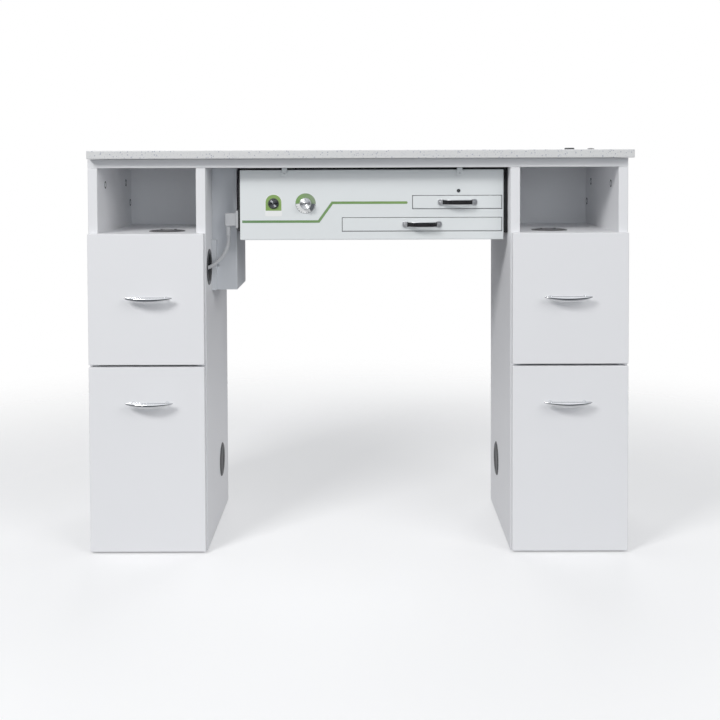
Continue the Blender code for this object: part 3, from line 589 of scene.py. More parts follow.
def surface(name, colour, other, roughness, metallic=0.0, cloud=(8.0, 0.5), relief=(900.0, 0.3),
            bump=0.05, worn=None, wear=0.0, dust=0.0, spread=0.08, pattern=None, coat=0.0,
            edge=0.0):
    """A finish with a drifting tone, an uneven gloss, a fine relief, worn edges and dust."""
    material, tree, shader, place = start_material(name)
    tone = grouped(tree, CLOUD, Vector=place, Colour=rgba(colour), Other=rgba(other),
                   Scale=cloud[0], Amount=cloud[1])
    base = tone.outputs["Colour"]
    if pattern:
        base = pattern(tree, place, base)
    if wear:
        edges = grouped(tree, WEAR, Vector=place, Width=0.0015, Amount=wear)
        base = blended(tree, edges.outputs["Mask"], base, rgba(worn))
    if dust:
        grey = grouped(tree, DUST, Vector=place, Scale=40.0, Amount=dust)
        base = blended(tree, grey.outputs["Mask"], base, DUST_GREY)
    tree.links.new(base, shader.inputs["Base Color"])
    gloss = arithmetic(tree, "MULTIPLY_ADD", tone.outputs["Cloud"], spread)
    gloss.node.inputs[2].default_value = roughness - spread / 2
    tree.links.new(gloss, shader.inputs["Roughness"])
    shader.inputs["Metallic"].default_value = metallic
    shader.inputs["Coat Weight"].default_value = coat
    height = grouped(tree, RELIEF, Vector=place, Scale=relief[0], Coarse=relief[1])
    raised = add(tree, "Bump", Height=height.outputs["Height"], Strength=bump, Distance=GRAIN_DEPTH)
    if edge:
        rounded = add(tree, "Bevel", {"samples": 4}, Radius=edge)
        tree.links.new(rounded.outputs["Normal"], raised.inputs["Normal"])
    tree.links.new(raised.outputs["Normal"], shader.inputs["Normal"])
    return material


print("finish recipe:", surface.__name__, "with grain", GRAIN_DEPTH, "m deep")

# %% [markdown]
# The engineered stone is white resin with crushed glass and blue-grey grit in it. Voronoi cells
# give grains of a natural shape: only the few cells whose random colour passes a limit are shown,
# once coarse and once fine, and the grit is darker than the glass.

# %% Patterns for stone, zinc, foam and film
def grains(tree, place, scale, share, size):
    """A mask of separate grains: cells picked at random, each smaller than its cell."""
    cells = add(tree, "TexVoronoi", Vector=place, Scale=scale)
    dice = add(tree, "SeparateColor", i0=cells.outputs["Color"])
    chosen = arithmetic(tree, "LESS_THAN", dice.outputs[0], share)
    near = arithmetic(tree, "LESS_THAN", cells.outputs["Distance"], size)
    return arithmetic(tree, "MULTIPLY", chosen, near)


def stone_pattern(tree, place, base):
    """Glass, grit and larger chips in white resin."""
    glass = grains(tree, place, 420.0, 0.22, 0.45)
    base = blended(tree, arithmetic(tree, "MULTIPLY", glass, 0.35), base, (0.44, 0.46, 0.52, 1))
    grit = grains(tree, place, 300.0, 0.16, 0.36)
    base = blended(tree, arithmetic(tree, "MULTIPLY", grit, 0.70), base, (0.22, 0.24, 0.34, 1))
    chips = grains(tree, place, 190.0, 0.06, 0.30)
    return blended(tree, arithmetic(tree, "MULTIPLY", chips, 0.6), base, (0.30, 0.32, 0.40, 1))


def spangle_pattern(tree, place, base):
    """The crystals of hot-dipped zinc."""
    cells = add(tree, "TexVoronoi", Vector=place, Scale=140.0)
    dice = add(tree, "SeparateColor", i0=cells.outputs["Color"])
    share = arithmetic(tree, "MULTIPLY", dice.outputs[0], 0.45)
    return blended(tree, share, base, (0.74, 0.76, 0.78, 1))


def foam_pattern(tree, place, base):
    """Open pores."""
    cells = add(tree, "TexVoronoi", Vector=place, Scale=900.0)
    hole = arithmetic(tree, "LESS_THAN", cells.outputs["Distance"], 0.32)
    return blended(tree, hole, base, (0.008, 0.008, 0.010, 1))


def ring_pattern(tree, place, base):
    """Fine streaks in turned metal."""
    waves = add(tree, "TexNoise", Vector=place, Scale=1500.0, Detail=2.0)
    share = arithmetic(tree, "MULTIPLY", waves.outputs["Fac"], 0.25)
    return blended(tree, share, base, (0.45, 0.46, 0.48, 1))


print("patterns:", *(kind.__name__ for kind in (stone_pattern, spangle_pattern, foam_pattern, ring_pattern)))

# %% [markdown]
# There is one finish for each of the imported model's material slots. Laminate is a cool white,
# powder coat a little greener and glossier, and black plastic is never quite black. Bare metals
# get a metallic value of one and take their look from what they mirror.

# %% Make the finishes
WHITE = (0.86, 0.865, 0.885)
MATERIALS = {
    "melamine": surface("melamine", WHITE, (0.82, 0.825, 0.85), 0.42, cloud=(5.0, 0.5),
                        relief=(700.0, 0.4), bump=0.035, worn=(0.90, 0.90, 0.90), wear=0.5,
                        dust=0.10, edge=0.0007),
    "stone": surface("stone", (0.72, 0.725, 0.72), (0.66, 0.665, 0.67), 0.30, cloud=(14.0, 0.6),
                     relief=(500.0, 0.3), bump=0.02, pattern=stone_pattern, coat=0.25, edge=0.0015),
    "painted_steel": surface("painted_steel", (0.79, 0.825, 0.83), (0.75, 0.79, 0.80), 0.34,
                             cloud=(6.0, 0.4), relief=(1400.0, 0.6), bump=0.09,
                             worn=(0.92, 0.93, 0.93), wear=0.6, edge=0.0008),
    "black_steel": surface("black_steel", (0.020, 0.020, 0.022), (0.035, 0.035, 0.037), 0.52,
                           relief=(1600.0, 0.4), bump=0.20, worn=(0.18, 0.18, 0.18), wear=0.7,
                           dust=0.5),
    "galvanised": surface("galvanised", (0.56, 0.58, 0.59), (0.46, 0.48, 0.50), 0.38, 1.0,
                          cloud=(20.0, 0.6), relief=(400.0, 0.5), bump=0.05,
                          pattern=spangle_pattern, spread=0.16),
    "chrome": surface("chrome", (0.80, 0.81, 0.82), (0.72, 0.73, 0.75), 0.10, 1.0,
                      cloud=(60.0, 0.5), relief=(900.0, 0.2), bump=0.006, spread=0.06),
    "spun_aluminium": surface("spun_aluminium", (0.80, 0.81, 0.82), (0.70, 0.71, 0.72), 0.26, 1.0,
                              relief=(2200.0, 0.1), bump=0.05, pattern=ring_pattern),
    "black_plastic": surface("black_plastic", (0.014, 0.015, 0.017), (0.028, 0.029, 0.031), 0.42,
                             relief=(1800.0, 0.3), bump=0.12, worn=(0.10, 0.10, 0.11), wear=0.6,
                             dust=0.25),
    "pale_plastic": surface("pale_plastic", (0.66, 0.67, 0.69), (0.60, 0.61, 0.63), 0.36,
                            relief=(1500.0, 0.3), bump=0.06, worn=(0.80, 0.80, 0.80), wear=0.4),
    "filter_foam": surface("filter_foam", (0.075, 0.080, 0.085), (0.045, 0.047, 0.050), 0.95,
                           relief=(900.0, 0.3), bump=0.9, pattern=foam_pattern),
    "motor_steel": surface("motor_steel", (0.36, 0.37, 0.39), (0.28, 0.29, 0.31), 0.42, 1.0,
                           relief=(600.0, 0.3), bump=0.05, spread=0.14),
    "cord_rubber": surface("cord_rubber", (0.55, 0.56, 0.575), (0.50, 0.51, 0.525), 0.46,
                           cloud=(40.0, 0.6), relief=(1600.0, 0.5), bump=0.10),
}
SLOT_OF = {material.name: slot for slot, material in MATERIALS.items()}
print("finishes:", sorted(MATERIALS))

# %% [markdown]
# The imported pieces come with plain colours. Each gets the finish of its slot, and its mesh stays
# untouched. The exhaust duct gets a duller, bluer grey than the front panel: painted shade, a
# darker copy of the panel's paint that stands for the shade on the duct below the panel.

# %% Dress the imported pieces
for part in frame["record"]["subparts"]:
    node = frame["nodes"][part["node"]]
    node.data.materials.clear()
    node.data.materials.append(MATERIALS[part["material_slot"]])
# Painted shade: the duct's paint is a darkened copy of the panel's, standing for the shade under the panel.
shaded_duct_paint = surface("shaded_duct_paint", (0.66, 0.685, 0.72), (0.62, 0.645, 0.68), 0.40,
                     cloud=(6.0, 0.4), relief=(1200.0, 0.6), bump=0.09, worn=(0.85, 0.86, 0.87),
                     wear=0.6)
SLOT_OF[shaded_duct_paint.name] = "painted_steel"
frame["nodes"]["exhaust_duct"].data.materials[0] = shaded_duct_paint

# %% [markdown]
# ## Lead, connector and plug
#
# Where a lead leaves a moulded plug, a ribbed sleeve keeps it from kinking. The sleeve is a circle
# that is extruded and scaled again and again: wide rib, narrow waist, each a little slimmer than
# the last, which is how such sleeves taper.

# %% Ribbed sleeve
WAIST = 0.80  # a waist's radius beside its rib's


def ribbed_sleeve(name, start, way, length, wide, slim, ribs):
    """A tapering sleeve with ribs, from a point along a direction."""
    none_selected()
    way = Vector(way).normalized()
    facing = Vector((0, 0, 1)).rotation_difference(way).to_euler()
    bpy.ops.mesh.primitive_circle_add(vertices=24, radius=wide, fill_type="NGON", location=start,
                                      rotation=facing)
    piece = bpy.context.object
    piece.name = name
    bpy.ops.object.transform_apply(location=True, rotation=True, scale=True)
    bpy.ops.object.mode_set(mode="EDIT")
    bpy.ops.mesh.select_mode(type="VERT")
    bpy.ops.mesh.select_all(action="SELECT")
    radius, here = wide, Vector(start)
    for k in range(ribs):
        outer = wide + (slim - wide) * (k + 0.5) / ribs
        for share, size in ((0.12, outer), (0.42, outer), (0.12, outer * WAIST), (0.34, outer * WAIST)):
            step = way * length / ribs * share
            here = here + step
            bpy.ops.mesh.extrude_region_move(TRANSFORM_OT_translate={"value": step})
            bpy.ops.transform.resize(value=(size / radius,) * 3, center_override=here)
            radius = size
    bpy.ops.mesh.select_all(action="SELECT")
    bpy.ops.mesh.normals_make_consistent(inside=False)
    bpy.ops.object.mode_set(mode="OBJECT")
    return piece


print("sleeve tool:", ribbed_sleeve.__name__)

# %% [markdown]
# The connector is an angled moulding that pushes into the extractor's side, with the lead leaving it
# downwards. A bevelled block is its body, its front face is inset for the moulder's recess, and a
# second block is the nose that goes into the inlet.

# %% Angled connector at the extractor
body_low, body_high = spot(-0.2590, 0.0620, 0.6160), spot(-0.2376, 0.0800, 0.6410)
connector = block("lead_connector", body_low, body_high)
soften(connector, 0.0022, 4)
pick(connector, "FACE", lambda face: face.normal.y < -0.99 and face.calc_area() > 0.0001)
bpy.ops.mesh.inset(thickness=0.0020, depth=-0.0004)
bpy.ops.object.mode_set(mode="OBJECT")
nose = block("nose", spot(-0.2415, 0.0640, 0.6170), spot(-0.2225, 0.0780, 0.6400))
sleeve_top = spot(-0.2530, 0.0710, 0.6170)
sleeve = ribbed_sleeve("sleeve", sleeve_top, (0, 0, -1), 0.0212, 0.0052, 0.0041, 5)
connector = join(connector, nose, sleeve)
finish(connector, MATERIALS["pale_plastic"], replaces=["cord_connector"])
print("connector body:", tuple(round(v, 4) for v in body_high - body_low))

# %% [markdown]
# The plug lies on the bottom board where the coil ends. It is easiest to model square to the axes
# and then to turn with the coil's last tangent, by transforming its mesh so that its object stays
# at the origin. A face inset and a bevel give the grip, and two blades stick out of its front.

# %% Mains plug beside the coil
leave = math.radians(COIL_EXIT + 90.0)
plug_frame = Matrix.Translation(spot(*COIL_AT, 0.0403)) @ Matrix.Rotation(leave, 4, "Z")
plug = block("mains_plug", (0.0520, -0.055, -0.010), (0.0850, -0.029, 0.010))
soften(plug, 0.0045, 4)
pick(plug, "FACE", lambda face: abs(face.normal.z) > 0.99)
bpy.ops.mesh.inset(thickness=0.0030, depth=0.0)
bpy.ops.mesh.extrude_region_move(TRANSFORM_OT_translate={"value": (0, 0, 0)})
bpy.ops.object.mode_set(mode="OBJECT")
sleeve = ribbed_sleeve("sleeve", (0.0540, -0.042, 0), (-1, 0, 0), 0.0278, 0.0062, 0.0041, 6)
blades = []
PLUG_MIDDLE, BLADE_PITCH, BLADE_THICK = -0.042, 0.0127, 0.0016
for side in (-1, 1):
    across = PLUG_MIDDLE + side * BLADE_PITCH / 2
    blade = block("blade", (0.0830, across - BLADE_THICK / 2, -0.0032),
                  (0.1010, across + BLADE_THICK / 2, 0.0032))
    soften(blade, 0.0006, 2)
    blades.append(blade)
blades = join(*blades)
blades.name = "plug_blades"
plug = join(plug, sleeve)
for piece in (plug, blades):
    piece.data.transform(plug_frame)
finish(plug, MATERIALS["pale_plastic"], replaces=["cord_plug"])
finish(blades, MATERIALS["chrome"])
print("plug faces", round(math.degrees(leave)), "degrees, blades", BLADE_PITCH, "m apart")

# %% [markdown]
# A coil springs open unless something holds it, so two thin straps go round its four windings. Each
# is a block without its end faces, given a wall by Solidify, with a small head where it locks.

# %% Two ties hold the coil
for name, angle in (("coil_tie_left", 200.0), ("coil_tie_right", 340.0)):
    tie = block(name, (0.0312, -0.002, 0.0301), (0.0458, 0.002, 0.0446))
    pick(tie, "FACE", lambda face: abs(face.normal.y) > 0.99)
    bpy.ops.mesh.delete(type="FACE")
    soften(tie, 0.0028, 4, along("Y"))
    only(tie)
    thick = tie.modifiers.new("band", "SOLIDIFY")
    thick.thickness = 0.0006
    thick.offset = 1.0
    bpy.ops.object.modifier_apply(modifier=thick.name)
    head = block("head", (0.0440, -0.0030, 0.0360), (0.0492, 0.0030, 0.0420))
    soften(head, 0.0008, 2)
    tie = join(tie, head)
    round_coil = Matrix.Rotation(math.radians(angle), 4, "Z")
    tie.data.transform(Matrix.Translation(spot(*COIL_AT, 0)) @ round_coil)
    finish(tie, MATERIALS["black_plastic"])

# %% [markdown]
# The lead's length is what a buyer would measure from the connector to the plug. It is printed
# beside the drawn length, and the lead takes the place of the imported lead and coil.

finish(mains_lead, MATERIALS["cord_rubber"], replaces=["cord", "cord_coil"])
print("lead declared at 1.82 m, drawn at", round(lead_length, 3), "m")

# %% [markdown]
# ## Chrome bow handles
#
# Each drawer has a slim crescent pull, and each extractor tray a strap pull. Both are bars whose
# section changes on the way. A curve with a taper could do it, but a small face at one tip that is
# extruded from station to station, and scaled every time, keeps depth and height apart.

# %% Swept bars
def swept(name, stations, corner=0.33):
    """A bar along X through (x, y, z, depth, height) stations, from a plane with rounded corners."""
    none_selected()
    x, y, z, depth, height = stations[0]
    bpy.ops.mesh.primitive_plane_add(size=1.0, location=(x, y, z), rotation=(0, math.pi / 2, 0))
    piece = bpy.context.object
    piece.name = name
    piece.scale = (height, depth, 1.0)
    bpy.ops.object.transform_apply(location=True, rotation=True, scale=True)
    bpy.ops.object.mode_set(mode="EDIT")
    bpy.ops.mesh.select_mode(type="VERT")
    bpy.ops.mesh.select_all(action="SELECT")
    bpy.ops.mesh.bevel(offset=min(depth, height) * corner, segments=4, affect="VERTICES")
    bpy.ops.mesh.select_all(action="SELECT")
    for before, after in zip(stations, stations[1:]):
        step = Vector(after[:3]) - Vector(before[:3])
        bpy.ops.mesh.extrude_region_move(TRANSFORM_OT_translate={"value": step})
        size = (1.0, after[3] / before[3], after[4] / before[4])
        bpy.ops.transform.resize(value=size, center_override=after[:3])
    bpy.ops.mesh.select_all(action="SELECT")
    bpy.ops.mesh.normals_make_consistent(inside=False)
    bpy.ops.object.mode_set(mode="OBJECT")
    return piece


print("bar tool:", swept.__name__)

# %% [markdown]
# The crescent is straight along its top, swells downwards and outwards to the middle and runs out to
# points. A cosine gives the swelling. A thin rod along the top makes the line of light that such a
# pull shows, and two turned posts 64 mm apart carry it.

# %% Bow handles
HALF_PITCH = 0.032  # half of the way between the posts
STAND_OFF = 0.0125  # from the drawer's front to the bar's back


def bow_handle(name, low, high):
    """A crescent bar between two corners, with two posts to the drawer front."""
    centre, half = (low.x + high.x) / 2, (high.x - low.x) / 2
    back = high.y - STAND_OFF
    stations = []
    for k in range(-12, 13):
        share = k / 12
        swell = math.cos(share * math.pi / 2) ** 0.75
        depth = 0.0010 + (back - low.y - 0.0012) * swell
        height = 0.0014 + (high.z - low.z - 0.0028) * swell
        stations.append((centre + share * (half - 0.0001), back - depth / 2,
                         high.z - 0.0013 - height / 2, depth, height))
    bar = swept(name, stations)
    spine_z = high.z - 0.0012
    spine = swept("spine", [(centre - half + 0.0010, back - 0.0006, spine_z, 0.0008, 0.0008),
                            (centre - half + 0.0080, back - 0.0010, spine_z, 0.0022, 0.0020),
                            (centre + half - 0.0080, back - 0.0010, spine_z, 0.0022, 0.0020),
                            (centre + half - 0.0010, back - 0.0006, spine_z, 0.0008, 0.0008)])
    posts = []
    for side in (-1, 1):
        at = Vector((centre + side * HALF_PITCH, high.y, high.z - 0.0042))
        reach = high.y - back + 0.002
        posts.append(turned("post", [(0, 0), (0.0042, 0), (0.0042, 0.0008), (0.0034, 0.0016),
                                     (0.0026, 0.0030), (0.0024, reach), (0, reach)],
                            at, (0, -1, 0), 24))
        posts.append(turned("boss", [(0, -0.0012), (0.0016, -0.0010), (0.0020, 0),
                                     (0.0016, 0.0010), (0, 0.0012)],
                            (at.x, back - 0.0010, high.z - 0.0013), (0, 0, 1), 16))
    return join(bar, spine, *posts)


for side in SIDES:
    for place in ("upper", "lower"):
        node = f"{side}_{place}_drawer_handle"
        handle = bow_handle(f"{side}_{place}_bow_handle", *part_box(node))
        finish(handle, MATERIALS["chrome"], f"{side}_{place}_drawer", [node], angle=50)
print("bow handles:", len(SIDES) * 2)

# %% [markdown]
# Two more finishes are needed from here on. Satin chrome is brushed enough to blur what it mirrors.
# The other is shadow black: painted shade for the gaps round the panel, and the black of holes and
# of the trays' grips. It is rough, with hardly any sheen, so that it reads as depth. Both count as
# one of the table's own slots.

# %% Satin chrome and shadow black
SATIN = surface("satin_chrome", (0.76, 0.77, 0.78), (0.68, 0.69, 0.71), 0.34, 1.0,
                relief=(1500.0, 0.2), bump=0.03)
SLOT_OF[SATIN.name] = "chrome"
SHADOW_BLACK = surface("shadow_black", (0.012, 0.012, 0.013), (0.020, 0.020, 0.021), 0.85,
                       relief=(1500.0, 0.3), bump=0.1)
SHADOW_BLACK.node_tree.nodes["Principled BSDF"].inputs["Specular IOR Level"].default_value = 0.08
SLOT_OF[SHADOW_BLACK.name] = "black_plastic"
print("more finishes:", SATIN.name, SHADOW_BLACK.name)

# %% [markdown]
# The extractor's trays carry flat strap pulls. Their ends are pads screwed to the front, and the
# strap between bows out towards the sitter. Its face has a black grip with small ridges; the grip's
# black is also painted reflection, standing for the dark that the strap's chrome face mirrors. One
# half is drawn as stations and the other is the same half reversed.

# %% Strap pulls on the trays
RIDGE_PITCH, RIDGE_WIDE, RIDGE_TALL = 0.0034, 0.0014, 0.0068


def strap_handle(name, low, high):
    """A bowed strap with screwed pads, and its grip, whose black is partly painted reflection."""
    centre = (low.x + high.x) / 2
    middle_z = (low.z + high.z) / 2
    wall = high.y - 0.0002
    shape = [(0.0374, 0.0009, 0.0018, 0.0060), (0.0364, 0.0009, 0.0018, 0.0100),
             (0.0345, 0.0009, 0.0018, 0.0124), (0.0305, 0.0010, 0.0020, 0.0126),
             (0.0288, 0.0018, 0.0024, 0.0118), (0.0274, 0.0050, 0.0030, 0.0108),
             (0.0262, 0.0092, 0.0032, 0.0104), (0.0242, 0.0130, 0.0030, 0.0102),
             (0.0205, 0.0160, 0.0028, 0.0100), (0.0150, 0.0176, 0.0028, 0.0100),
             (0.0080, 0.0186, 0.0028, 0.0102)]
    half = [(centre - x, wall - out, middle_z, depth, height) for x, out, depth, height in shape]
    other = [(2 * centre - x, y, z, depth, height) for x, y, z, depth, height in reversed(half)]
    middle = (centre, wall - 0.0190, middle_z, 0.0028, 0.0102)
    bow = [station for station in half + [middle] + other if abs(station[0] - centre) < 0.0290]
    grip = swept(name + "_grip", [(x, y - depth / 2 - 0.0001, middle_z, 0.0010, height - 0.0022)
                                  for x, y, z, depth, height in bow], 0.3)
    for k in range(-5, 6):
        x = centre + k * RIDGE_PITCH
        ridge = block("ridge", (x - RIDGE_WIDE / 2, wall - 0.0212, middle_z - RIDGE_TALL / 2),
                      (x + RIDGE_WIDE / 2, wall - 0.0200, middle_z + RIDGE_TALL / 2))
        grip = join(grip, soften(ridge, 0.0003, 2))
    strap = swept(name, half + [middle] + other, 0.22)
    screws = []
    for side in (-1, 1):
        at = (centre + side * 0.0325, wall - 0.0017, middle_z)
        screws.append(turned("screw", [(0, 0), (0.0017, 0), (0.0017, 0.0003), (0.0013, 0.0006),
                                       (0.0007, 0.0006), (0.0006, 0.0002), (0, 0.0002)],
                             at, (0, -1, 0), 20))
    return join(strap, *screws), grip


for body, node in (("filter_tray", "filter_drawer_handle"), ("dust_tray", "dust_drawer_handle")):
    handle, grip = strap_handle(f"{body}_pull", *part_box(node))
    finish(handle, SATIN, body, [node], angle=50)
    # The grip's black is partly painted reflection: the dark that the strap's chrome face would mirror.
    finish(grip, SHADOW_BLACK, body)
    print("strap pull on", body, "with", len(handle.data.polygons), "faces")

# %% [markdown]
# ## Controls
#
# The speed knob is turned from aluminium bar. Its face keeps the lathe's rings, which throw light
# in opposite wedges, so the rings are modelled: the outline goes up and down every half
# millimetre before it is spun. A small black bar on the rim is its pointer.

# %% Speed knob
FACE_Y = 0.0380  # the front panel's front plane
BUTTON_X, KNOB_X, CONTROL_Z = -0.1625, -0.1008, 0.6602


def ringed_face(radius, height, groove, depth):
    """The outline of a turned face from its edge to the axis, with fine rings."""
    outline = []
    count = int((radius - 0.0008) / groove)
    for k in range(count):
        outline.append((radius - k * groove, height))
        outline.append((radius - (k + 0.5) * groove, height - depth))
    return outline + [(0.0006, height), (0, height)]


knob_at = spot(KNOB_X, FACE_Y - 0.0003, CONTROL_Z)
knob = turned("speed_knob_cap", [(0, 0), (0.0108, 0), (0.0111, 0.0006), (0.0111, 0.0030),
                                 (0.0107, 0.0034), (0.0107, 0.0140), (0.0102, 0.0150)]
              + ringed_face(0.0096, 0.0153, 0.0008, 0.00013), knob_at, (0, -1, 0), 72)
mark = block("mark", knob_at + Vector((-0.0004, -0.0155, 0.0062)),
             knob_at + Vector((0.0004, -0.0120, 0.0108)))
finish(knob, MATERIALS["spun_aluminium"], "speed_control", ["speed_knob"], angle=8)
finish(mark, MATERIALS["black_plastic"], "speed_control")
mark.name = "knob_pointer"
print("knob faces:", len(knob.data.polygons))

# %% [markdown]
# The push button has the same turned rings in dark metal. It slides in a black bezel, a ring with
# just enough room round the button for it to travel.

# %% Power button
button_at = spot(BUTTON_X, FACE_Y - 0.0003, CONTROL_Z)
button = turned("power_button_cap", [(0, 0), (0.0080, 0), (0.0080, 0.0048), (0.0076, 0.0054)]
                + ringed_face(0.0072, 0.0056, 0.0007, 0.00012), button_at, (0, -1, 0), 64)
DARK_METAL = surface("dark_metal", (0.085, 0.090, 0.095), (0.060, 0.063, 0.068), 0.24, 1.0,
                     relief=(1800.0, 0.2), bump=0.03)
SLOT_OF[DARK_METAL.name] = "black_plastic"
finish(button, DARK_METAL, "power_switch", ["power_button"], angle=8)
bezel = turned("button_bezel", [(0.0083, 0), (0.0083, 0.0016), (0.0088, 0.0022), (0.0098, 0.0020),
                                (0.0104, 0.0010), (0.0105, 0), (0.0083, 0)], button_at, (0, -1, 0), 64)
finish(bezel, MATERIALS["black_plastic"])
print("button faces:", len(button.data.polygons))

# %% [markdown]
# ## Printed films on the panel
#
# The panel's graphics are thin films: a green arch behind the button, a round scale behind the
# knob and a green line that steps up towards the filter drawer. All are glossy plastic with a faint
# unevenness, and each works out its colours from the place on the panel.

# %% A film's material
def film(name, colours_of):
    """A printed film whose colours a function works out from X and Z."""
    material, tree, shader, place = start_material(name)
    split = add(tree, "SeparateXYZ", i0=place).outputs
    colour = colours_of(tree, split["X"], split["Z"])
    tone = grouped(tree, CLOUD, Vector=place, Other=(0.9, 0.9, 0.9, 1.0), Scale=25.0, Amount=0.10)
    tree.links.new(colour, tone.inputs["Colour"])
    tree.links.new(tone.outputs["Colour"], shader.inputs["Base Color"])
    shader.inputs["Roughness"].default_value = 0.32
    shader.inputs["Coat Weight"].default_value = 0.3
    height = grouped(tree, RELIEF, Vector=place, Scale=1200.0, Coarse=0.5)
    raised = add(tree, "Bump", Height=height.outputs["Height"], Strength=0.04, Distance=0.0003)
    tree.links.new(raised.outputs["Normal"], shader.inputs["Normal"])
    SLOT_OF[material.name] = "painted_steel"
    return material


print("film tool:", film.__name__)

# %% [markdown]
# The arch is green above and pale below. The line's green turns lighter to the right. The scale's
# colours follow the angle round the knob's axis, so one disc carries the green half, the slate
# wedge, the ticks and the fine outer line, with no picture to load.

# %% The films' colours
DEEP_GREEN, LEAF_GREEN = (0.075, 0.20, 0.055, 1), (0.14, 0.29, 0.04, 1)
PAPER, SLATE = (0.92, 0.93, 0.92, 1), (0.10, 0.11, 0.125, 1)


def badge_colours(tree, x, z):
    """Green above, paper below."""
    above = arithmetic(tree, "GREATER_THAN", z, button_at.z - 0.0138)
    return blended(tree, above, PAPER, (0.17, 0.33, 0.04, 1))


def stripe_colours(tree, x, z):
    """Deep green at the left end, leaf green at the right."""
    across = add(tree, "MapRange", Value=x, From_Min=spot(-0.222, 0, 0).x,
                 From_Max=spot(0.095, 0, 0).x)
    return blended(tree, across.outputs["Result"], DEEP_GREEN, LEAF_GREEN)


def scale_colours(tree, x, z):
    """A ring with a green upper half, a slate wedge, ticks and a fine outer line."""
    right = arithmetic(tree, "SUBTRACT", x, knob_at.x)
    up = arithmetic(tree, "SUBTRACT", z, knob_at.z)
    squares = [arithmetic(tree, "MULTIPLY", value, value) for value in (right, up)]
    radius = arithmetic(tree, "SQRT", arithmetic(tree, "ADD", *squares))
    angle = arithmetic(tree, "ARCTAN2", up, right)
    line = arithmetic(tree, "GREATER_THAN", radius, 0.0187)
    waves = arithmetic(tree, "SINE", arithmetic(tree, "MULTIPLY", angle, 24.0))
    ticks = arithmetic(tree, "GREATER_THAN", waves, 0.75)
    outer = arithmetic(tree, "GREATER_THAN", radius, 0.0165)
    marks = arithmetic(tree, "MAXIMUM", line, arithmetic(tree, "MULTIPLY", ticks, outer))
    colour = blended(tree, marks, PAPER, (0.30, 0.32, 0.33, 1))
    low_right = arithmetic(tree, "MULTIPLY", arithmetic(tree, "GREATER_THAN", angle, -0.95),
                           arithmetic(tree, "LESS_THAN", angle, -0.03))
    inside = arithmetic(tree, "LESS_THAN", radius, 0.0182)
    colour = blended(tree, arithmetic(tree, "MULTIPLY", low_right, inside), colour, SLATE)
    top = arithmetic(tree, "GREATER_THAN", up, -0.0005)
    share = add(tree, "MapRange", Value=right, From_Min=-0.019, From_Max=0.019).outputs["Result"]
    green = blended(tree, share, (0.12, 0.28, 0.035, 1), (0.18, 0.25, 0.14, 1))
    return blended(tree, top, colour, green)


print("film kinds:", badge_colours.__name__, stripe_colours.__name__, scale_colours.__name__)

# %% [markdown]
# Round each tray's front runs a gap of under a millimetre that lies in shade and looks black. The
# imported panel closes that gap further back, so a thin dark frame is laid behind the panel's plane
# as painted shade: a plate with a window cut out of it.

# %% Painted shade round the tray windows
for name, low_x, high_x, low_z, high_z in (("filter_gap_shade", 0.1047, 0.2761, 0.6494, 0.6748),
                                           ("dust_gap_shade", -0.0305, 0.2761, 0.6066, 0.6325)):
    plate = block(name, spot(low_x - 0.0008, FACE_Y - 0.0001, low_z - 0.0008),
                  spot(high_x + 0.0008, FACE_Y + 0.0001, high_z + 0.0008))
    window = block("window", spot(low_x, FACE_Y - 0.01, low_z), spot(high_x, FACE_Y + 0.01, high_z))
    # Painted shade: the black frame stands for the shadow in the gap round each tray.
    shade_frame = finish(cut(plate, window), MATERIALS["black_plastic"])
    print(shade_frame.name, "is", round(high_x - low_x, 4), "m wide inside")

# %% [markdown]
# The arch behind the button is a white film with a slightly smaller green one on it. A thin block
# becomes an arch when its two upper corners get a bevel as wide as half the arch. The button moves
# through both films, so both have a hole.

# %% The button's films
FILM = 0.00015


def film_block(name, reach, below, above, front):
    """A thin upright block round the button's axis."""
    return block(name, spot(BUTTON_X - reach, FACE_Y - front, CONTROL_Z - below),
                 spot(BUTTON_X + reach, FACE_Y - front + FILM, CONTROL_Z + above))


def corners(height, sign):
    """A test for the corner edges above or below a height."""
    return lambda edge: along("Y")(edge) and sign * (middle(edge).z - height) > 0


halo = film_block("badge_halo", 0.0164, 0.0246, 0.0183, 0.0002)
BADGE_HOLE = [(0, 0.01), (0.0082, 0.01), (0.0082, -0.01), (0, -0.01)]
soften(halo, 0.0160, 14, corners(CONTROL_Z, 1))
soften(halo, 0.0030, 5, corners(CONTROL_Z - 0.0200, -1))
cut(halo, turned("hole", BADGE_HOLE, button_at, (0, -1, 0), 48))
finish(halo, film("white_film", lambda tree, x, z: blended(tree, 0.5, (0.86, 0.87, 0.86, 1), PAPER)))
badge = film_block("badge", 0.0152, 0.0234, 0.0171, 0.00036)
soften(badge, 0.0148, 14, corners(CONTROL_Z, 1))
soften(badge, 0.0022, 5, corners(CONTROL_Z - 0.0200, -1))
cut(badge, turned("hole", BADGE_HOLE, button_at, (0, -1, 0), 48))
finish(badge, film("badge_film", badge_colours))
print("arch:", halo.name, badge.name)

# %% [markdown]
# The knob's scale is a thin disc, turned like the other round parts, behind the knob.

# %% The knob's scale
scale = turned("speed_scale", [(0, 0.0001), (0.0196, 0.0001), (0.0196, 0.00025), (0, 0.00025)],
               spot(KNOB_X, FACE_Y, CONTROL_Z), (0, -1, 0), 72)
finish(scale, film("scale_film", scale_colours))
print("scale:", scale.name, "faces", len(scale.data.polygons))

# %% [markdown]
# The green line starts as a small square. Its right edge is extruded along, up the slope and along
# again. The corner points are then moved so that the line keeps its width in the slope, its end is
# rounded, and Solidify gives the film its thickness.

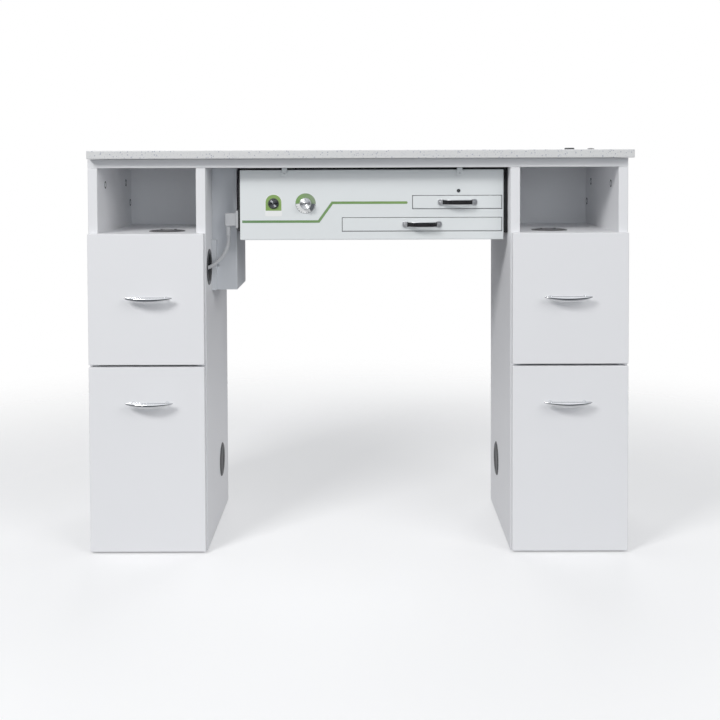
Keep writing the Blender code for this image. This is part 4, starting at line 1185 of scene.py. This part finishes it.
# %% The green line
LINE_LOW, LINE_HIGH, LINE_WIDE = 0.6255, 0.6614, 0.005
TURN_LOW, TURN_HIGH, STRIPE_END = -0.0757, -0.0496, 0.0952
none_selected()
bpy.ops.mesh.primitive_plane_add(size=LINE_WIDE, rotation=(math.pi / 2, 0, 0),
                                 location=spot(-0.2203, FACE_Y - 0.0002, LINE_LOW))
stripe = bpy.context.object
stripe.name = "green_stripe"
bpy.ops.object.transform_apply(location=True, rotation=True, scale=True)
edge_x = spot(-0.2178, 0, 0).x
for x, z in ((TURN_LOW, LINE_LOW), (TURN_HIGH, LINE_HIGH), (STRIPE_END, LINE_HIGH)):
    pick(stripe, "EDGE", lambda edge: abs(middle(edge).x - edge_x) < 0.0001
         and abs(edge.verts[0].co.x - edge.verts[1].co.x) < 0.0001)
    there = spot(x, 0, z)
    here = middle(next(edge for edge in bmesh.from_edit_mesh(stripe.data).edges if edge.select))
    step = (there.x - here.x, 0, there.z - here.z)
    bpy.ops.mesh.extrude_region_move(TRANSFORM_OT_translate={"value": step})
    edge_x = there.x
for x, z in ((TURN_LOW, LINE_LOW), (TURN_HIGH, LINE_HIGH)):
    for side in (-1, 1):
        corner = spot(x, FACE_Y - 0.0002, z + side * LINE_WIDE / 2)
        pick(stripe, "VERT", lambda vert: (vert.co - corner).length < 0.0002)
        bpy.ops.transform.translate(value=(side * -0.0013, 0, 0))
pick(stripe, "VERT", lambda vert: abs(vert.co.x - spot(STRIPE_END, 0, 0).x) < 0.0002)
bpy.ops.mesh.bevel(offset=0.0024, segments=6, affect="VERTICES")
only(stripe)
thick = stripe.modifiers.new("film", "SOLIDIFY")
thick.thickness = FILM
bpy.ops.object.modifier_apply(modifier=thick.name)
finish(stripe, film("stripe_film", stripe_colours))
print("line:", stripe.name, "from", round(TURN_LOW, 3), "to", STRIPE_END)

# %% [markdown]
# ## Grommets, caps and plugs
#
# These are moulded round parts, so each is an outline spun about its axis. The cubby grommets have
# a lid with a mouth for wires, cut out of the disc, and two small grips beside it.

# %% Cubby grommets
for side, sign in SIDES.items():
    centre = spot(sign * 0.3720, 0.0660, 0.6060)
    ring = turned(f"{side}_desk_grommet",
                  [(0.0286, -0.0148), (0.0286, 0.0006), (0.0292, 0.0014), (0.0316, 0.0019),
                   (0.0338, 0.0015), (0.0348, 0.0006), (0.0349, 0.0001), (0.0299, 0.0001),
                   (0.0299, -0.0148), (0.0286, -0.0148)], centre, (0, 0, 1), 64)
    finish(ring, MATERIALS["black_plastic"], "cabinet", [f"{side}_grommet_ring"])
    lid = turned(f"{side}_grommet_disc",
                 [(0, 0.0007), (0.0266, 0.0007), (0.0274, 0.0011), (0.0274, 0.0018),
                  (0.0268, 0.0024), (0.0240, 0.0026), (0.0228, 0.0020), (0, 0.0020)],
                 centre, (0, 0, 1), 64)
    mouth = block("mouth", centre + Vector((-0.0085, 0.0125, -0.01)),
                  centre + Vector((0.0085, 0.04, 0.01)))
    soften(mouth, 0.0060, 5, lambda edge: along("Z")(edge) and middle(edge).y < centre.y + 0.02)
    cut(lid, mouth)
    grips = []
    for offset in (-0.0135, 0.0135):
        grip = block("grip", centre + Vector((offset - 0.0022, 0.0120, 0.0016)),
                     centre + Vector((offset + 0.0022, 0.0200, 0.0033)))
        grips.append(soften(grip, 0.0007, 3))
    lid = join(lid, *grips)
    finish(lid, MATERIALS["black_plastic"], f"{side}_grommet_lid", [f"{side}_grommet_cap"])
    print(ring.name, "and", lid.name)

# %% [markdown]
# The lead goes through an open grommet in the left pedestal's inner side. Lower down each pedestal
# has the same hole closed with a press-in cap, which is a disc with a rim and a short collar.

# %% Cord grommet and low caps
centre = spot(-0.2880, 0.0450, 0.5380)
grommet = turned("lead_grommet",
                 [(0.0265, -0.0158), (0.0265, 0.0006), (0.0272, 0.0015), (0.0305, 0.0020),
                  (0.0338, 0.0015), (0.0349, 0.0004), (0.0349, 0.0001), (0.0298, 0.0001),
                  (0.0298, -0.0158), (0.0265, -0.0158)], centre, (1, 0, 0), 64)
finish(grommet, MATERIALS["black_plastic"], "cabinet", ["cord_grommet"])
for side, sign in SIDES.items():
    centre = spot(sign * 0.2880, 0.2200, 0.1175)
    cap = turned(f"{side}_blank_cap",
                 [(0, 0.0012), (0.0215, 0.0012), (0.0230, 0.0020), (0.0262, 0.0024),
                  (0.0320, 0.0021), (0.0345, 0.0010), (0.0349, 0.0001), (0.0298, 0.0001),
                  (0.0290, -0.0118), (0.0280, -0.0118), (0.0280, -0.0004), (0, -0.0004)],
                 centre, (-sign, 0, 0), 64)
    finish(cap, MATERIALS["black_plastic"], "cabinet", [f"{side}_low_grommet_cap"])
    print(cap.name, "at", tuple(round(v, 4) for v in centre))

# %% [markdown]
# Two small black plugs close the holes that are drilled in the stone for a lamp's stem and a wire.
# One is nearly flat, the other domed, and both have a stem that goes down into the stone.

# %% Plugs on the slab
SLAB_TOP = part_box("stone_top")[1].z
flat = turned("flat_plug",
              [(0, -0.0100), (0.0070, -0.0100), (0.0070, 0.0001), (0.0101, 0.0001),
               (0.0103, 0.0008), (0.0100, 0.0046), (0.0094, 0.0053), (0.0080, 0.0055),
               (0.0050, 0.0052), (0, 0.0050)],
              spot(0.4352, 0.2000, SLAB_TOP), (0, 0, 1), 48)
finish(flat, MATERIALS["black_plastic"], "cabinet", ["top_plug_flat"])
domed = turned("domed_plug",
               [(0, -0.0100), (0.0060, -0.0100), (0.0060, 0.0001), (0.0082, 0.0001),
                (0.0083, 0.0010), (0.0076, 0.0026), (0.0060, 0.0039), (0.0036, 0.0046),
                (0, 0.0048)],
               spot(0.4791, 0.2000, SLAB_TOP), (0, 0, 1), 48)
finish(domed, MATERIALS["black_plastic"], "cabinet", ["top_plug_domed"])
print("plugs on the stone at", round(SLAB_TOP, 4), "m")

# %% [markdown]
# ## Fixings and trim
#
# Small things give a table its scale. Cam locks pull the boards together: each is a shallow black
# cup, 15 mm across, let into the cubby's side walls near the joints. They are in a loop, because
# both pedestals and both walls have them at the same places.

# %% Cam locks in the cubbies
def cam_lock(name, at, axis):
    """A dark cam with a shallow cup."""
    return turned(name, [(0, -0.0030), (0.0074, -0.0030), (0.0074, 0.0002), (0.0050, 0.0002),
                         (0.0046, -0.0010), (0, -0.0010)], at, axis, 32)


CAM_PLACES = ((0.068, 0.6965), (0.260, 0.6970), (0.3035, 0.6540))  # behind the front plane, up
cams = 0
for side, sign in SIDES.items():
    for wall, face, inward in (("outer", 0.4920, -1), ("inner", 0.3060, 1)):
        for number, (depth, height) in enumerate(CAM_PLACES, 1):
            cam = cam_lock(f"{side}_{wall}_cam_{number}", spot(sign * face, depth, height),
                           (sign * inward, 0, 0))
            finish(cam, SHADOW_BLACK)
            cams += 1
print("cam locks:", cams)

# %% [markdown]
# The front panel hangs from two white clips under the top. Each is a small block whose top face is
# inset and drawn up into a tongue, with a screw hole through it.

# %% Hanger clips
for name, x in (("hanger_clip_left", -0.1410), ("hanger_clip_right", 0.1950)):
    clip = block(name, spot(x - 0.0062, 0.0318, 0.7140), spot(x + 0.0062, 0.0379, 0.7206))
    pick(clip, "FACE", lambda face: face.normal.z > 0.99)
    bpy.ops.mesh.inset(thickness=0.0012)
    bpy.ops.mesh.extrude_region_move(TRANSFORM_OT_translate={"value": (0, 0.0012, 0.0078)})
    soften(clip, 0.0008, 3, lambda edge: not edge.is_boundary)
    hole = turned("hole", [(0, 0.0), (0.0014, 0.0), (0.0014, 0.012), (0, 0.012)],
                  spot(x, 0.0385, 0.7178), (0, -1, 0), 20)
    cut(clip, hole)
    finish(clip, MATERIALS["painted_steel"])
    print(clip.name, "faces", len(clip.data.polygons))

# %% [markdown]
# A screw with a ring round it sits above the filter tray, and a slotted one holds the duct's flange.
# Both are turned heads, and the slot is a thin block cut out of one.

# %% Panel and duct screws
ring_at = spot(0.1930, FACE_Y - 0.0001, 0.6840)
ring = turned("panel_screw",
              [(0, 0), (0.0036, 0), (0.0036, 0.0006), (0.0030, 0.0010), (0.0025, 0.0009),
               (0.0024, 0.0003), (0.0018, 0.0003), (0.0018, 0.0012), (0.0012, 0.0016),
               (0, 0.0017)], ring_at, (0, -1, 0), 36)
finish(ring, DARK_METAL)
screw = turned("duct_screw",
               [(0, 0), (0.0030, 0), (0.0030, 0.0005), (0.0024, 0.0013), (0.0012, 0.0017),
                (0, 0.0018)],
               spot(-0.2755, 0.0909, 0.5370), (0, -1, 0), 32)
slot = block("slot", spot(-0.2790, 0.0880, 0.5366), spot(-0.2720, 0.0897, 0.5374))
cut(screw, slot)
finish(screw, MATERIALS["galvanised"])
print("screws:", ring.name, screw.name)

# %% [markdown]
# Black strips fill the gaps beside and above the panel, so that no light comes through. They are
# painted shade: dark blocks that stand for the deep shadow in these narrow gaps. Plain blocks with
# a small rounding are all that can be seen of them.

# %% Painted-shade strips round the panel
for name, low_x, high_x, foot, head in (("shade_strip_left", -0.2312, -0.2274, 0.6070, 0.7289),
                                        ("shade_strip_right", 0.2800, 0.2876, 0.6030, 0.7289),
                                        ("shade_strip_top", -0.2266, 0.2792, 0.7246, 0.7289)):
    strip = block(name, spot(low_x, 0.0400, foot), spot(high_x, 0.0570, head))
    soften(strip, 0.0008, 2)
    # Painted shade: each black strip stands for the deep shadow in its narrow gap.
    finish(strip, SHADOW_BLACK)
    print(strip.name, round(head - foot, 4), "m high")

# %% [markdown]
# Inside the left pedestal five saddles hold the lead to the side board on its way down. Each is a
# block that wraps the lead, rounded on the side that faces the drawers.

# %% Saddles for the lead
SADDLES = ((0.1780, 0.5190, False), (0.2500, 0.5075, False), (0.3045, 0.4050, True),
           (0.3045, 0.3000, True), (0.3045, 0.1900, True))  # behind the front plane, up, upright
for number, (y, z, upright) in enumerate(SADDLES, 1):
    wide, tall = (0.0056, 0.0040) if upright else (0.0040, 0.0060)
    saddle = block(f"lead_saddle_{number}", spot(-0.3164, y - wide, z - tall),
                   spot(-0.3061, y + wide, z + tall))
    soften(saddle, 0.0022, 4, lambda edge: middle(edge).x < spot(-0.3120, 0, 0).x)
    finish(saddle, MATERIALS["pale_plastic"])
print("saddles:", len(SADDLES))

# %% [markdown]
# ## Floor and light
#
# The table stands on a plain pale floor that fades into white with distance from its middle, like a
# studio sweep. A curved backdrop would do the same with more geometry. What the floor throws back
# at the table is toned down, so that the undersides keep their shadow.

# %% Floor
none_selected()
bpy.ops.mesh.primitive_circle_add(vertices=96, radius=6.0, fill_type="NGON", location=(0, 0, -0.0006))
floor = bpy.context.object
floor.name = "floor"
bpy.ops.object.transform_apply(location=True, rotation=True, scale=True)
material, tree, shader, place = start_material("studio_floor")
distance = add(tree, "VectorMath", {"operation": "LENGTH"}, i0=place).outputs["Value"]
fade = add(tree, "MapRange", {"interpolation_type": "SMOOTHSTEP"}, Value=distance, From_Min=0.70,
           From_Max=2.0, To_Min=1.0, To_Max=0.0)
tone = grouped(tree, CLOUD, Vector=place, Colour=rgba((0.93, 0.93, 0.935)),
               Other=rgba((0.90, 0.90, 0.905)), Scale=3.0, Amount=0.5)
seen = add(tree, "LightPath").outputs["Is Camera Ray"]
tint = blended(tree, seen, (0.42, 0.42, 0.43, 1), tone.outputs["Colour"])
tree.links.new(tint, shader.inputs["Base Color"])
tree.links.new(fade.outputs["Result"], shader.inputs["Alpha"])
shader.inputs["Roughness"].default_value = 0.7
shader.inputs["Emission Color"].default_value = (1, 1, 1, 1)
shader.inputs["Emission Strength"].default_value = 0.12
floor.data.materials.append(material)
print("floor fades from 0.70 to 2.0 m")

# %% [markdown]
# The world is there for the chrome to mirror: bright overhead, pale at the sides, dark in a band at
# eye level, where a studio has its dark wall. It lights the rest only faintly, and the camera sees
# it as white. A gamma above one keeps the white laminate pale without washing out the stone.

# %% World
AMBIENT, MIRRORED = 0.17, 0.53  # the world's strength, and what mirrors see on top of it
world = bpy.data.worlds.new("studio")
bpy.context.scene.world = world
world.use_nodes = True
tree = world.node_tree
tree.nodes.clear()
way = add(tree, "TexCoord").outputs["Generated"]
height = add(tree, "SeparateXYZ", i0=way).outputs["Z"]
upward = add(tree, "MapRange", Value=height, From_Min=-1.0, From_Max=1.0).outputs["Result"]
lit = shades(tree, upward, [(0.0, (0.26, 0.27, 0.29)), (0.40, (0.30, 0.31, 0.335)),
                            (0.45, (0.030, 0.032, 0.038)), (0.555, (0.030, 0.032, 0.038)),
                            (0.61, (0.60, 0.63, 0.70)), (0.75, (0.90, 0.93, 1.0)), (0.95, (2.0, 2.05, 2.1))])
rays = add(tree, "LightPath").outputs
power = arithmetic(tree, "MULTIPLY_ADD", rays["Is Glossy Ray"], MIRRORED)
power.node.inputs[2].default_value = AMBIENT
soft = add(tree, "Background", Color=lit, Strength=power)
seen = add(tree, "Background", Color=(1, 1, 1, 1), Strength=1.0)
either = add(tree, "MixShader", i0=rays["Is Camera Ray"], i1=soft.outputs[0], i2=seen.outputs[0])
output = tree.nodes.new("ShaderNodeOutputWorld")
tree.links.new(either.outputs[0], output.inputs["Surface"])
bpy.context.scene.view_settings.view_transform = "Standard"
bpy.context.scene.view_settings.gamma = 1.25
print("world:", world.name, "view:", bpy.context.scene.view_settings.view_transform)

# %% [markdown]
# The key light comes from the left, about 30 degrees up, so its edge falls as a slanting line on the
# cubbies' walls. A large soft box answers it from the right, a low wide one beside the camera fills
# the cubbies, and two behind light the knee space and the back. Only the key and the one behind
# show in the chrome, because broad boxes would turn it plain white.

# %% Soft boxes
def soft_box(name, at, aim, size, power, colour=(1, 1, 1)):
    """An area light at a place, turned towards another."""
    light = bpy.data.lights.new(name, "AREA")
    light.shape = "RECTANGLE"
    light.size, light.size_y = size
    light.energy = power
    light.color = colour
    lamp = bpy.data.objects.new(name, light)
    lamp.location = at
    lamp.rotation_euler = (Vector(aim) - Vector(at)).to_track_quat("-Z", "Y").to_euler()
    lamp.visible_glossy = name in ("key", "behind")
    lamp.visible_camera = False
    bpy.context.scene.collection.objects.link(lamp)
    return lamp


LIGHTS = {
    "key": ((-1.8, -2.4, 2.35), (0, 0, 0.5), (1.1, 0.8), 59.0),
    "soft": ((1.9, -2.3, 2.0), (0, 0, 0.5), (2.0, 1.6), 33.0),
    "front": ((0.3, -3.4, 0.9), (0, 0, 0.6), (2.2, 0.9), 9.5, (0.86, 0.93, 1.0)),
    "behind": ((0.2, 2.8, 2.4), (0, 0, 0.3), (2.6, 1.4), 30.0),
    "knee": ((1.3, 2.6, 0.7), (-0.2, 0.2, 0.5), (1.6, 1.0), 4.0),
}
for name, settings in LIGHTS.items():
    soft_box(name, *settings)
print("lights:", *LIGHTS)
